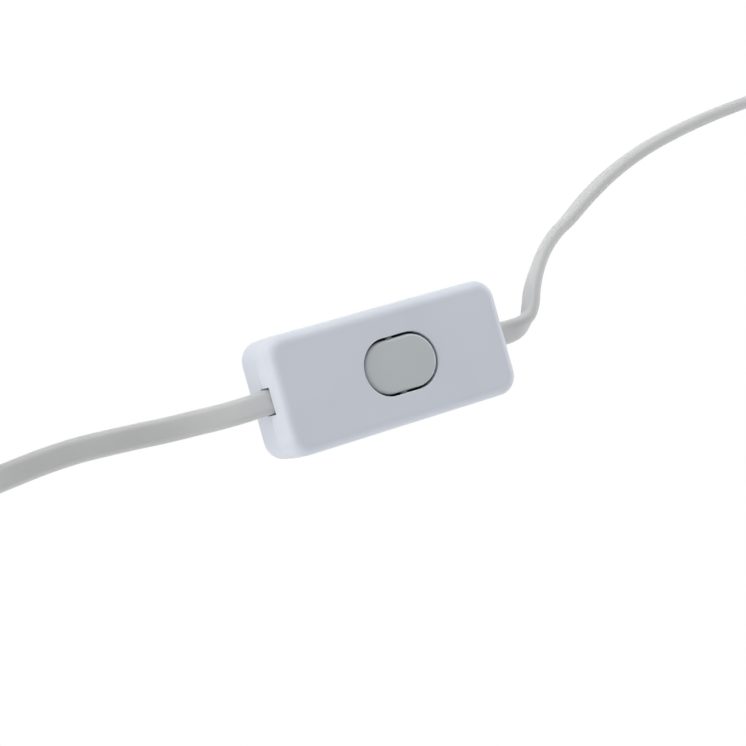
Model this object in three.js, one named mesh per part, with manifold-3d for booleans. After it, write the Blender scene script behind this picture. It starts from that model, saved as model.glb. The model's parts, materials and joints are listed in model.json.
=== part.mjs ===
// Inline rocker cord switch with its flat two-core lead, in millimetres, +Z up.
// The switch lies on its rear face, X runs along the body and Z points out of the front face.
import * as THREE from 'three';
import { mergeVertices } from 'three/addons/utils/BufferGeometryUtils.js';
import Module from 'manifold-3d';

const wasm = await Module();
wasm.setup();

// Housing
const LENGTH = 56.5;
const WIDTH = 25;
const HEIGHT = 13.5;
const PARTING_Z = 7.6; // plane where the front and rear covers meet
const WALL = 1.5;
const CORNER_R = 4.3;
const FRONT_R = 2.3; // edge rounding of the front face
const REAR_R = 2.1; // edge rounding of the rear face
const DRAFT = 0.025; // how much each wall leans in per mm away from the parting plane
const GAP = 0.3; // clearance between neighbouring pieces
const HAIR = 0.001; // straight length left beside a round end

// Rocker and its bearings
const ROCKER_LENGTH = 16.8;
const ROCKER_WIDTH = 11.1;
const ROCKER_CLEAR = 0.5; // gap all round the rocker in the front face
const OPENING_X = 1.1;
const ROCKER_SHIFT = 0.1; // the rocker's middle lies this far from the opening's
const ROCKER_EDGE = 0.5;
const ROCKER_WALL = 1.2;
const ROCKER_TILT = 3; // degrees to each side of level
const PIVOT_DROP = 2.7; // pivot axis below the front face
const ROCKER_TOP = 2.8; // rocker face above the pivot axis
const ROCKER_SKIRT = 0.8; // skirt below the pivot axis
const TRUNNION_R = 0.9;
const CHEEK_THICK = 1.5;
const CHEEK_HALF = 2.6; // half the cheek's length along X

// Plunger, spring and contact plate
const STEM_R = 2.3;
const STEM_LIFT = 1.45; // stem's end above the middle of the contact plate
const BORE_R = 1.45;
const BORE_TOP = 0.6; // above the pivot axis
const PLUNGER_R = 1.1;
const PLUNGER_LENGTH = 2.8;
const SPRING_WIRE = 0.18;
const SPRING_TURNS = 4;
const PLATE_THICK = 0.5;
const PLATE_WIDTH = 4;
const PLATE_RISE = 3.45; // middle of the plate above the floor
const PLATE_TILT = 6; // degrees to each side of level
const PLATE_REACH = 7.5; // fulcrum to the middle of the silver tip
const PLATE_BAR = 3.6; // half the width of the plate's stop bar
const TIP_R = 1.4;
const TIP_THICK = 0.6;

// Terminals and screws
const STRIP_THICK = 0.9;
const BLOCK = { length: 5, width: 5, high: 6.7 };
const BLOCK_OUT = 4.7; // middle of a live block beyond the silver tips' places
const NEUTRAL = { x: 8.2, length: 8, width: 4.2, pitch: 4.6 };
const WIRE_RISE = 3.9; // wire holes above the floor
const WIRE_HOLE_R = 0.9;
const COPPER_R = 0.5;
const CORE_R = 1.0;
const SCREW = { shank: 1.05, hole: 1.35, head: 1.9, headHigh: 1.0, slot: 0.5 };
const COVER_SCREW = { inset: 8.55, shank: 0.9, hole: 1.2, head: 1.6, sink: 2.6, post: 2.6 };

// Cord, slots and clamps
const CORD_W = 5.1;
const CORD_T = 2.8;
const SLOT_SIDE = 0.25; // clearance beside the cord in its slot
const SLOT_UNDER = 0.55; // clearance below the cord
const SLOT_OVER = 0.1; // clearance above the cord
const CLAMP_INSET = 3.75; // middle of a clamp from the end wall
const CLAMP_LENGTH = 4.6;
const CLAMP_HALF = 6.8;
const CLAMP_RISE = 1.3; // middle of the clamped cord above the parting plane
const SHEATH_OVER = 1.1; // sheath left standing inside the clamp
const CLAMP_SCREW = { y: 4.9, shank: 0.8, hole: 1.1, head: 1.45, sink: 0.9, deep: 4.5 };

// Coils, ties and plug
const TIE_THICK = 0.5;
const TIE_WIDTH = 4;
const COIL_BASE = TIE_THICK + GAP;
const LAYER = CORD_W + 0.1;
const HANK = { right: -95.5, left: -182.5, y: 20.2, outer: 23.6, inner: 13.6, layers: 2 };
const RING = { x: 145, y: 10.2, outer: 28.2, inner: 21.6, layers: 1 };
const PLUG = { width: 35.3, thick: 13.7, length: 26, corner: 4.2, turn: 160, x: -121.65, y: 5.6 };
const RELIEF = { length: 22, thick: 6.4, wide: 9.6, endThick: 4.4, endWide: 7 };
const PIN = { r: 2, length: 19, pitch: 18.6, sleeve: 10, seat: 5 };
const FERRULE = { r: 0.95, length: 8 };

// Worked out from the sizes above
const INNER_X = LENGTH / 2 - WALL;
const INNER_Y = WIDTH / 2 - WALL;
const FLOOR_Z = WALL;
const ROOF_Z = HEIGHT - WALL;
const PIVOT_X = OPENING_X + ROCKER_SHIFT;
const PIVOT_Z = HEIGHT - PIVOT_DROP;
const OPENING_LENGTH = ROCKER_LENGTH + 2 * ROCKER_CLEAR;
const OPENING_WIDTH = ROCKER_WIDTH + 2 * ROCKER_CLEAR;
const PLATE_Z = FLOOR_Z + PLATE_RISE;
const STEM_DEPTH = PIVOT_Z - PLATE_Z - STEM_LIFT; // below the pivot axis
const BLOCK_X = PLATE_REACH + BLOCK_OUT;
const BLOCK_Y = -(PLATE_WIDTH + BLOCK.width) / 2;
const BLOCK_TOP = FLOOR_Z + BLOCK.high;
const NEUTRAL_Y = INNER_Y - NEUTRAL.width / 2 - 0.4;
const WIRE_Z = FLOOR_Z + WIRE_RISE;
const CLAMP_X = INNER_X - CLAMP_INSET;
const CLAMPED_Z = PARTING_Z + CLAMP_RISE; // middle of the cord in its clamp
const SHEATH_END = CLAMP_X - CLAMP_LENGTH / 2 - SHEATH_OVER;
const SLOT_WIDTH = CORD_W + 2 * SLOT_SIDE;
const CHEEK_Y = OPENING_WIDTH / 2 + 0.25;
const TRUNNION_END = CHEEK_Y + CHEEK_THICK - 0.5;
const PLUG_Z = COIL_BASE + HANK.layers * LAYER + 0.1 + 0.4 + PLUG.thick / 2;
const SIDES = [-1, 1];

const rad = THREE.MathUtils.degToRad;

function paint(color, roughness, metalness = 0) {
  return new THREE.MeshStandardMaterial({ color, roughness, metalness });
}

const WHITE = paint(0xe9edf0, 0.35);
const ROCKER_WHITE = paint(0xdcdfe0, 0.25);
const CORD_WHITE = paint(0xdfe1e2, 0.45);
const BRASS = paint(0xc9a45a, 0.35, 1);
const SILVER = paint(0xd8d8d4, 0.3, 1);
const STEEL = paint(0xb9bcc0, 0.35, 1);
const COPPER = paint(0xc47a4a, 0.35, 1);
const BROWN = paint(0x6b4226, 0.5);
const BLUE = paint(0x2f6fb8, 0.5);
const NATURAL = paint(0xd9d4c4, 0.5);
const BLACK = paint(0x222222, 0.5);

const assembly = new THREE.Group();

function add(name, geometry, material, parent = assembly) {
  const mesh = new THREE.Mesh(geometry, material);
  mesh.name = name;
  parent.add(mesh);
  return mesh;
}

// ---------------------------------------------------------------- solids

function solid(geometry) {
  const bare = geometry.index ? geometry.toNonIndexed() : geometry.clone();
  bare.deleteAttribute('normal');
  bare.deleteAttribute('uv');
  const merged = mergeVertices(bare, 1e-4);
  return new wasm.Manifold(new wasm.Mesh({
    numProp: 3,
    vertProperties: Float32Array.from(merged.attributes.position.array),
    triVerts: Uint32Array.from(merged.index.array),
  }));
}

function geometryOf(body) {
  const mesh = body.getMesh();
  const geometry = new THREE.BufferGeometry();
  geometry.setAttribute('position', new THREE.BufferAttribute(mesh.vertProperties, 3));
  geometry.setIndex(new THREE.BufferAttribute(mesh.triVerts, 1));
  return geometry;
}

function join(...bodies) {
  return bodies.reduce((all, body) => all.add(body));
}

function cut(body, ...tools) {
  return tools.reduce((rest, tool) => rest.subtract(tool), body);
}

function box(x0, x1, y0, y1, z0, z1) {
  const geometry = new THREE.BoxGeometry(x1 - x0, y1 - y0, z1 - z0);
  geometry.translate((x0 + x1) / 2, (y0 + y1) / 2, (z0 + z1) / 2);
  return solid(geometry);
}

function postGeometry(x, y, r, z0, z1, sides = 16) {
  const geometry = new THREE.CylinderGeometry(r, r, z1 - z0, sides);
  geometry.rotateX(Math.PI / 2);
  geometry.translate(x, y, (z0 + z1) / 2);
  return geometry;
}

function post(...sizes) {
  return solid(postGeometry(...sizes));
}

// A rod along X.
function rodGeometry(x0, x1, y, z, r, sides = 12) {
  const geometry = new THREE.CylinderGeometry(r, r, x1 - x0, sides);
  geometry.rotateZ(Math.PI / 2);
  geometry.translate((x0 + x1) / 2, y, z);
  return geometry;
}

// A rod along Y.
function axleGeometry(x, y0, y1, z, r, sides = 16) {
  const geometry = new THREE.CylinderGeometry(r, r, y1 - y0, sides);
  geometry.translate(x, (y0 + y1) / 2, z);
  return geometry;
}

function roundedRectangle(length, width, r) {
  const shape = new THREE.Shape();
  const x = length / 2 - r;
  const y = width / 2 - r;
  shape.absarc(x, y, r, 0, Math.PI / 2);
  shape.absarc(-x, y, r, Math.PI / 2, Math.PI);
  shape.absarc(-x, -y, r, Math.PI, Math.PI * 1.5);
  shape.absarc(x, -y, r, Math.PI * 1.5, Math.PI * 2);
  return shape;
}

function slab(shape, z0, z1, curveSegments = 6) {
  const geometry = new THREE.ExtrudeGeometry(shape, {
    depth: z1 - z0, bevelEnabled: false, curveSegments,
  });
  geometry.translate(0, 0, z0);
  return geometry;
}

// A slab whose top and bottom edges are rounded.
function cushion(length, width, corner, edge, z0, z1, curveSegments = 6) {
  const shape = roundedRectangle(length - 2 * edge, width - 2 * edge, corner - edge);
  const geometry = new THREE.ExtrudeGeometry(shape, {
    depth: z1 - z0 - 2 * edge, bevelEnabled: true, bevelThickness: edge, bevelSize: edge,
    bevelSegments: 4, curveSegments,
  });
  geometry.translate(0, 0, z0 + edge);
  return geometry;
}

// ---------------------------------------------------------------- covers

// Leans the walls in, away from the parting plane.
function withDraft(geometry) {
  const at = geometry.attributes.position;
  for (let i = 0; i < at.count; i += 1) {
    const lean = DRAFT * Math.abs(at.getZ(i) - PARTING_Z);
    at.setX(i, at.getX(i) * (1 - (2 * lean) / LENGTH));
    at.setY(i, at.getY(i) * (1 - (2 * lean) / WIDTH));
  }
  return geometry;
}

function coverShell(front) {
  const edge = front ? FRONT_R : REAR_R;
  const beyond = edge + 1;
  const [z0, z1] = front ? [PARTING_Z - beyond, HEIGHT] : [0, PARTING_Z + beyond];
  const outside = solid(withDraft(cushion(LENGTH, WIDTH, CORNER_R, edge, z0, z1)));
  const [cut0, cut1] = front ? [z0 - 1, PARTING_Z] : [PARTING_Z, z1 + 1];
  const inside = solid(slab(
    roundedRectangle(2 * INNER_X, 2 * INNER_Y, CORNER_R - WALL), FLOOR_Z, ROOF_Z, 4,
  ));
  return cut(outside, box(-LENGTH, LENGTH, -WIDTH, WIDTH, cut0, cut1), inside);
}

function slots() {
  return SIDES.map((side) => {
    const ends = [side * (INNER_X - 1), side * (LENGTH / 2 + 1)].sort((a, b) => a - b);
    return box(
      ends[0], ends[1], -SLOT_WIDTH / 2, SLOT_WIDTH / 2,
      CLAMPED_Z - CORD_T / 2 - SLOT_UNDER, CLAMPED_Z + CORD_T / 2 + SLOT_OVER,
    );
  });
}

function coverScrewPlaces() {
  const x = INNER_X - COVER_SCREW.inset;
  const y = INNER_Y - COVER_SCREW.post - 0.2;
  return SIDES.map((side) => [side * x, y]);
}

function clampScrewPlaces() {
  return SIDES.flatMap((side) => SIDES.map((hand) => [side * CLAMP_X, hand * CLAMP_SCREW.y]));
}

function bearingCheek(hand) {
  const [y0, y1] = [hand * CHEEK_Y, hand * (CHEEK_Y + CHEEK_THICK)].sort((a, b) => a - b);
  const bottom = PIVOT_Z - 1.8;
  const wall = box(PIVOT_X - CHEEK_HALF, PIVOT_X + CHEEK_HALF, y0, y1, bottom, ROOF_Z + 0.1);
  const r = TRUNNION_R + GAP;
  const mouth = box(PIVOT_X - r, PIVOT_X + r, y0 - 1, y1 + 1, bottom - 1, PIVOT_Z);
  return cut(wall, solid(axleGeometry(PIVOT_X, y0 - 1, y1 + 1, PIVOT_Z, r)), mouth);
}

function frontCover() {
  const opening = slab(
    roundedRectangle(OPENING_LENGTH, OPENING_WIDTH, OPENING_WIDTH / 2 - HAIR),
    ROOF_Z - 1, HEIGHT + 1, 8,
  ).translate(OPENING_X, 0, 0);
  let body = cut(coverShell(true), solid(opening), ...slots());
  for (const hand of SIDES) body = body.add(bearingCheek(hand));
  for (const [x, y] of coverScrewPlaces()) {
    const boss = post(x, y, COVER_SCREW.post - 0.2, PARTING_Z, ROOF_Z + 0.1);
    body = cut(body.add(boss), post(x, y, COVER_SCREW.hole, PARTING_Z - 1, ROOF_Z - 0.6, 12));
  }
  for (const side of SIDES) {
    const tab = box(
      side * 8 - 2, side * 8 + 2, GAP - INNER_Y, GAP + 1 - INNER_Y, PARTING_Z - 1.8, PARTING_Z,
    );
    const root = box(side * 8 - 2, side * 8 + 2, -INNER_Y - 0.1, GAP + 1 - INNER_Y,
      PARTING_Z, PARTING_Z + 1.5);
    body = join(body, tab, root);
  }
  return body;
}

function clampSaddle(side) {
  const x = side * CLAMP_X;
  const half = CLAMP_LENGTH / 2;
  const top = CLAMPED_Z - CORD_T / 2 - 0.1;
  return box(x - half, x + half, -CLAMP_HALF, CLAMP_HALF, FLOOR_Z - 0.1, top);
}

// Holds a trunnion up in its bearing.
function trunnionPost(hand) {
  const y = hand * (CHEEK_Y + CHEEK_THICK / 2);
  const top = PIVOT_Z - TRUNNION_R - GAP;
  return box(PIVOT_X - 0.8, PIVOT_X + 0.8, y - 0.6, y + 0.6, FLOOR_Z - 0.1, top);
}

function plateStop(hand) {
  const x = PIVOT_X - PLATE_REACH;
  const [y0, y1] = [hand * (PLATE_WIDTH / 2 + 0.4), hand * PLATE_BAR].sort((a, b) => a - b);
  const lowest = PLATE_Z - PLATE_REACH * Math.sin(rad(PLATE_TILT)) - PLATE_THICK / 2;
  return box(x - 0.6, x + 0.6, y0, y1, FLOOR_Z - 0.1, lowest - 0.4);
}

function rearCover() {
  let body = coverShell(false);
  for (const side of SIDES) body = body.add(clampSaddle(side));
  for (const hand of SIDES) body = join(body, trunnionPost(hand), plateStop(hand));
  for (const [x, y] of coverScrewPlaces()) {
    body = cut(
      body.add(post(x, y, COVER_SCREW.post, FLOOR_Z - 0.1, PARTING_Z)),
      post(x, y, COVER_SCREW.hole, -1, PARTING_Z + 1, 12),
      post(x, y, COVER_SCREW.head + GAP, -1, COVER_SCREW.sink),
    );
  }
  for (const [x, y] of clampScrewPlaces()) {
    body = cut(body, post(x, y, CLAMP_SCREW.hole, CLAMPED_Z - CLAMP_SCREW.deep - 0.6, HEIGHT, 12));
  }
  return cut(body, ...slots());
}

// ---------------------------------------------------------------- rocker and plunger

// Pieces of the rocker are drawn about the pivot axis and turned with it.
const rockerFrame = new THREE.Group();
rockerFrame.position.set(PIVOT_X, 0, PIVOT_Z);
rockerFrame.rotation.y = rad(-ROCKER_TILT);

function rocker() {
  const cap = solid(cushion(
    ROCKER_LENGTH, ROCKER_WIDTH, ROCKER_WIDTH / 2 - HAIR, ROCKER_EDGE,
    -ROCKER_SKIRT, ROCKER_TOP, 8,
  ));
  const hollow = solid(slab(
    roundedRectangle(
      ROCKER_LENGTH - 2 * ROCKER_WALL, ROCKER_WIDTH - 2 * ROCKER_WALL,
      ROCKER_WIDTH / 2 - ROCKER_WALL - HAIR,
    ),
    -ROCKER_SKIRT - 1, ROCKER_TOP - ROCKER_WALL, 6,
  ));
  let body = cut(cap, hollow).add(post(0, 0, STEM_R, -STEM_DEPTH, ROCKER_TOP - 1));
  for (const hand of SIDES) {
    const ends = [hand * (ROCKER_WIDTH / 2 - 0.6), hand * TRUNNION_END].sort((a, b) => a - b);
    body = body.add(solid(axleGeometry(0, ends[0], ends[1], 0, TRUNNION_R)));
  }
  return cut(body, post(0, 0, BORE_R, -STEM_DEPTH - 1, BORE_TOP));
}

const PLUNGER_TOP = PLUNGER_LENGTH - STEM_DEPTH - PLUNGER_R + 0.2;

function plunger() {
  const dome = new THREE.Path();
  const centre = PLUNGER_TOP - PLUNGER_LENGTH + PLUNGER_R;
  dome.moveTo(0, centre - PLUNGER_R);
  dome.absarc(0, centre, PLUNGER_R, -Math.PI / 2, 0);
  dome.lineTo(PLUNGER_R, PLUNGER_TOP);
  dome.lineTo(0, PLUNGER_TOP);
  return new THREE.LatheGeometry(dome.getPoints(5), 14).rotateX(Math.PI / 2);
}

class Helix extends THREE.Curve {
  constructor(r, z0, z1, turns) {
    super();
    Object.assign(this, { r, z0, z1, turns });
  }

  getPoint(t) {
    const angle = t * this.turns * 2 * Math.PI;
    return new THREE.Vector3(
      this.r * Math.cos(angle), this.r * Math.sin(angle),
      THREE.MathUtils.lerp(this.z0, this.z1, t),
    );
  }
}

function spring() {
  const coil = new Helix(
    PLUNGER_R - SPRING_WIRE, PLUNGER_TOP + SPRING_WIRE + 0.1,
    BORE_TOP - SPRING_WIRE - 0.1, SPRING_TURNS,
  );
  return new THREE.ExtrudeGeometry(circle(SPRING_WIRE, 6), {
    steps: SPRING_TURNS * 10, bevelEnabled: false, extrudePath: coil,
  });
}

function circle(r, sides) {
  return new THREE.Shape(Array.from({ length: sides }, (_, i) => {
    const angle = (i * 2 * Math.PI) / sides;
    return new THREE.Vector2(r * Math.cos(angle), r * Math.sin(angle));
  }));
}

// ---------------------------------------------------------------- contacts and terminals

// The plate is drawn about its fulcrum line and turned with it.
const plateFrame = new THREE.Group();
plateFrame.position.set(PIVOT_X, 0, PLATE_Z);
plateFrame.rotation.y = rad(PLATE_TILT);

function contactPlate() {
  const half = PLATE_THICK / 2;
  const w = PLATE_WIDTH / 2;
  return join(
    box(-PLATE_REACH - 0.6, PLATE_REACH + TIP_R, -w, w, -half, half),
    box(-PLATE_REACH - 0.6, -PLATE_REACH + 0.9, -PLATE_BAR, PLATE_BAR, -half, half),
  );
}

function fulcrum() {
  const top = PLATE_Z - PLATE_THICK / 2 - GAP;
  const ridge = new THREE.Shape([
    new THREE.Vector2(-1.1, 0), new THREE.Vector2(1.1, 0), new THREE.Vector2(0.15, 1),
    new THREE.Vector2(-0.15, 1),
  ]);
  const base = FLOOR_Z + STRIP_THICK - 0.1;
  const geometry = slab(ridge, -PLATE_WIDTH / 2, PLATE_WIDTH / 2, 1);
  geometry.rotateX(Math.PI / 2).scale(1, 1, top - base).translate(PIVOT_X, 0, base);
  return solid(geometry);
}

function lug(hand) {
  const inner = PLATE_WIDTH / 2 + GAP;
  const [y0, y1] = [hand * inner, hand * (inner + 0.8)].sort((a, b) => a - b);
  return box(PIVOT_X - 1.3, PIVOT_X + 1.3, y0, y1, FLOOR_Z, PLATE_Z + 0.8);
}

function screwHole(x, y) {
  return post(x, y, SCREW.hole, WIRE_Z, BLOCK_TOP + 1, 12);
}

function wireHole(x0, x1, y) {
  return solid(rodGeometry(x0 - 1, x1 + 1, y, WIRE_Z, WIRE_HOLE_R));
}

function liveBlock(side) {
  const x0 = side * BLOCK_X - BLOCK.length / 2;
  const x1 = x0 + BLOCK.length;
  const y0 = BLOCK_Y - BLOCK.width / 2;
  return cut(
    box(x0, x1, y0, y0 + BLOCK.width, FLOOR_Z, BLOCK_TOP),
    wireHole(x0, x1, BLOCK_Y), screwHole(side * BLOCK_X, BLOCK_Y),
  );
}

function liveInTerminal() {
  const w = PLATE_WIDTH / 2;
  const left = -BLOCK_X - BLOCK.length / 2;
  const wide = w + GAP + 0.8;
  return join(
    liveBlock(-1),
    box(left, PIVOT_X + 1.3, -w, w, FLOOR_Z, FLOOR_Z + STRIP_THICK),
    box(PIVOT_X - 1.3, PIVOT_X + 1.3, -wide, wide, FLOOR_Z, FLOOR_Z + STRIP_THICK),
    fulcrum(), lug(-1), lug(1),
  );
}

function liveOutTerminal() {
  const w = PLATE_WIDTH / 2;
  return join(
    liveBlock(1),
    box(
      PIVOT_X + PLATE_REACH - TIP_R - 0.4, BLOCK_X + BLOCK.length / 2, -w, w,
      FLOOR_Z, FLOOR_Z + STRIP_THICK,
    ),
  );
}

function neutralScrewPlaces() {
  return SIDES.map((side) => [NEUTRAL.x + (side * NEUTRAL.pitch) / 2, NEUTRAL_Y]);
}

function neutralTerminal() {
  const x0 = NEUTRAL.x - NEUTRAL.length / 2;
  const x1 = x0 + NEUTRAL.length;
  const half = NEUTRAL.width / 2;
  return cut(
    box(x0, x1, NEUTRAL_Y - half, NEUTRAL_Y + half, FLOOR_Z, BLOCK_TOP),
    wireHole(x0, x1, NEUTRAL_Y),
    ...neutralScrewPlaces().map(([x, y]) => screwHole(x, y)),
  );
}

// A slotted screw whose shank starts at z0, with its head from seat upwards.
function slottedScrew(x, y, z0, seat, shank, head, high) {
  const w = SCREW.slot / 2;
  return cut(
    join(post(x, y, shank, z0, seat + 0.1, 12), post(x, y, head, seat, seat + high)),
    box(x - head - 1, x + head + 1, y - w, y + w, seat + high / 2, seat + high + 1),
  );
}

function coverScrew(x, y) {
  const top = COVER_SCREW.sink;
  const w = SCREW.slot / 2;
  const r = COVER_SCREW.head;
  return cut(
    join(post(x, y, r, top - 1.1, top), post(x, y, COVER_SCREW.shank, top - 0.1, ROOF_Z - 1, 12)),
    box(x - r - 1, x + r + 1, y - w, y + w, 0, top - 0.7),
  );
}

function clampBar(side) {
  const x = side * CLAMP_X;
  const half = CLAMP_LENGTH / 2;
  const under = CLAMPED_Z + CORD_T / 2 + 0.1;
  const top = ROOF_Z - GAP;
  const foot = CLAMPED_Z - 0.5;
  const bar = cut(
    box(x - half, x + half, -CLAMP_HALF, CLAMP_HALF, foot, top),
    box(x - half - 1, x + half + 1, -CORD_W / 2 - GAP, CORD_W / 2 + GAP, foot - 1, under),
  );
  return cut(bar, ...SIDES.flatMap((hand) => [
    post(x, hand * CLAMP_SCREW.y, CLAMP_SCREW.hole, foot - 1, top + 1, 12),
    post(x, hand * CLAMP_SCREW.y, CLAMP_SCREW.head + GAP, top - CLAMP_SCREW.sink, top + 1),
  ]));
}

// ---------------------------------------------------------------- cores

function pipe(points, r, sides = 8, steps = 14) {
  const path = new THREE.CatmullRomCurve3(points.map((p) => new THREE.Vector3(...p)));
  return new THREE.ExtrudeGeometry(circle(r, sides), {
    steps, bevelEnabled: false, extrudePath: path,
  });
}

const CORE_Y = CORD_W / 4; // middle of each core in the flat cord
const CORE_START = SHEATH_END - GAP - 0.1;
const LIVE_FACE = BLOCK_X + BLOCK.length / 2; // outer face of a live block
const NEUTRAL_LEFT = NEUTRAL.x - NEUTRAL.length / 2;
const NEUTRAL_RIGHT = NEUTRAL.x + NEUTRAL.length / 2;
const BEHIND_POST = CHEEK_Y + CHEEK_THICK + 1.6;
const STRIPPED = 0.8; // bare copper between the insulation and the block

function liveCorePoints(side) {
  return [
    [side * CORE_START, -CORE_Y, CLAMPED_Z],
    [side * (CORE_START - 0.8), -CORE_Y, CLAMPED_Z - 0.05],
    [side * (LIVE_FACE + 2.2), (BLOCK_Y - CORE_Y) / 2 - 0.2, (CLAMPED_Z + WIRE_Z) / 2],
    [side * (LIVE_FACE + STRIPPED + 0.5), BLOCK_Y, WIRE_Z + 0.1],
    [side * (LIVE_FACE + STRIPPED), BLOCK_Y, WIRE_Z],
  ];
}

const NEUTRAL_IN_POINTS = [
  [-CORE_START, CORE_Y, CLAMPED_Z],
  [-CORE_START + 0.8, CORE_Y, CLAMPED_Z - 0.05],
  [-CORE_START + 2.2, 2.6, CLAMPED_Z - 0.9],
  [-CORE_START + 4.7, 4.6, WIRE_Z + 1],
  [PIVOT_X - 10.2, 7.6, WIRE_Z + 0.1],
  [PIVOT_X - 4.2, BEHIND_POST - 0.1, WIRE_Z],
  [PIVOT_X, BEHIND_POST, WIRE_Z],
  [NEUTRAL_LEFT - STRIPPED - 0.8, NEUTRAL_Y + 0.1, WIRE_Z],
  [NEUTRAL_LEFT - STRIPPED, NEUTRAL_Y, WIRE_Z],
];

const NEUTRAL_OUT_POINTS = [
  [CORE_START, CORE_Y, CLAMPED_Z],
  [CORE_START - 0.8, CORE_Y, CLAMPED_Z - 0.05],
  [CORE_START - 2.1, 2.6, CLAMPED_Z - 0.9],
  [CORE_START - 3.8, 5.0, WIRE_Z + 1.2],
  [NEUTRAL_RIGHT + STRIPPED + 0.9, NEUTRAL_Y - 0.5, WIRE_Z + 0.1],
  [NEUTRAL_RIGHT + STRIPPED, NEUTRAL_Y, WIRE_Z],
];

// ---------------------------------------------------------------- the free cord

// Each row is x, y, z and the roll of the cord's wide direction in degrees: 0 lies flat, 90
// stands on edge. Both lists start at the sheath's end inside the housing.
const LEFT_ROUTE = [
  [-19.6, 0, 8.9, 0], [-24, 0, 8.9, 0], [-28.2, 0, 8.6, 4], [-33, -0.2, 7.3, 5],
  [-38, -0.2, 5.3, 3], [-43, 0, 3.3, 0], [-48, 0.2, 2, 0], [-53.5, 0.6, 1.55, 0],
  [-60, 1.0, 1.45, 0], [-67, 1.3, 1.45, 0], [-74, 1.1, 1.45, 0], [-80, 0.6, 1.5, 2],
  [-86, 0, 1.85, 18], [-90.5, -0.7, 2.5, 55], [-94.5, -1.3, 3.05, 86],
  [-100, -1.8, 3.35, 90], [-106.8, -1.95, 3.4, 90],
];
const RIGHT_ROUTE = [
  [19.6, 0, 8.9, 0], [24, 0, 8.9, 0], [28.3, -0.05, 8.7, 0], [32, -0.15, 8.3, 14],
  [35.6, 0.25, 7.9, 42], [38.4, 1.7, 7.5, 72], [40.2, 4, 7.1, 86], [41.8, 6.6, 6.5, 84],
  [43.9, 9.2, 5.8, 76], [46.6, 12, 5.1, 70], [50, 14.9, 4.3, 70], [54.2, 17.6, 3.6, 76],
  [58.9, 19.7, 3.0, 82], [65.3, 23.2, 2.65, 88], [73.6, 27.1, 2.6, 90], [84, 30.6, 2.6, 90],
  [95, 33, 2.6, 90], [107, 34.8, 2.7, 90], [118, 35.9, 2.9, 90], [125, 36.5, 3.2, 90],
  [130.9, 36.8, 3.4, 90],
];
const PLUG_ROUTE = [
  [-140, 42.4, 14.2, 90], [-132, 42.4, 14.5, 90], [-124, 42.4, 14.9, 89],
  [-116, 42.4, 15.3, 84], [-106.6, 39.9, 15.8, 72], [-99.6, 32.9, 16.3, 56],
  [-97.1, 23.5, 16.9, 38], [-99.6, 14.1, 17.5, 20], [-106.6, 7.1, 18.1, 6],
  [-113.9, 4.7, 18.4, 0], [-118, 4.7, 18.55, 0], [-121.2, 5.43, 18.55, 0],
];
const END_ROUTE = [
  [163.6, 3.4, 3.2, 90], [161.4, 0, 3.1, 88], [157.9, -2.9, 2.8, 72], [154.4, -4.8, 2.3, 44],
  [150.5, -6, 1.8, 16], [146, -6.5, 1.5, 2], [141.5, -6.2, 1.5, 0],
];

function stadium(wide, thick) {
  const shape = new THREE.Shape();
  const x = (wide - thick) / 2;
  shape.absarc(x, 0, thick / 2, -Math.PI / 2, Math.PI / 2);
  shape.absarc(-x, 0, thick / 2, Math.PI / 2, Math.PI * 1.5);
  return shape;
}

// Bends a straight extrusion of the cord's section onto a route.
function cordTube(route, steps) {
  const path = new THREE.CatmullRomCurve3(route.map(([x, y, z]) => new THREE.Vector3(x, y, z)));
  path.curveType = 'centripetal';
  const rolls = new THREE.CatmullRomCurve3(route.map((row) => new THREE.Vector3(row[3], 0, 0)));
  const geometry = new THREE.ExtrudeGeometry(stadium(CORD_W, CORD_T), {
    depth: 1, steps, bevelEnabled: false, curveSegments: 2,
  });
  const at = geometry.attributes.position;
  const up = new THREE.Vector3(0, 0, 1);
  for (let i = 0; i < at.count; i += 1) {
    const t = Math.min(Math.max(at.getZ(i), 0), 1);
    const tangent = path.getTangent(t);
    const across = new THREE.Vector3().crossVectors(up, tangent).normalize();
    const lift = new THREE.Vector3().crossVectors(tangent, across);
    const roll = rad(rolls.getPoint(t).x);
    const wide = across.clone().multiplyScalar(Math.cos(roll))
      .addScaledVector(lift, Math.sin(roll));
    const thin = new THREE.Vector3().crossVectors(tangent, wide);
    const point = path.getPoint(t).addScaledVector(wide, at.getX(i))
      .addScaledVector(thin, at.getY(i));
    at.setXYZ(i, point.x, point.y, point.z);
  }
  return geometry;
}

function hank() {
  const length = HANK.right - HANK.left;
  const shape = roundedRectangle(length, 2 * HANK.outer, HANK.outer - HAIR);
  shape.holes.push(roundedRectangle(
    length - 2 * (HANK.outer - HANK.inner), 2 * HANK.inner, HANK.inner - HAIR,
  ));
  const geometry = slab(shape, COIL_BASE, COIL_BASE + HANK.layers * LAYER, 10);
  return geometry.translate((HANK.left + HANK.right) / 2, HANK.y, 0);
}

function ring() {
  const [z0, z1] = [COIL_BASE, COIL_BASE + RING.layers * LAYER];
  const profile = [
    [RING.inner, z0], [RING.outer, z0], [RING.outer, z1], [RING.inner, z1], [RING.inner, z0],
  ].map(([r, z]) => new THREE.Vector2(r, z));
  const geometry = new THREE.LatheGeometry(profile, 40).rotateX(Math.PI / 2);
  return geometry.translate(RING.x, RING.y, 0);
}

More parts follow.
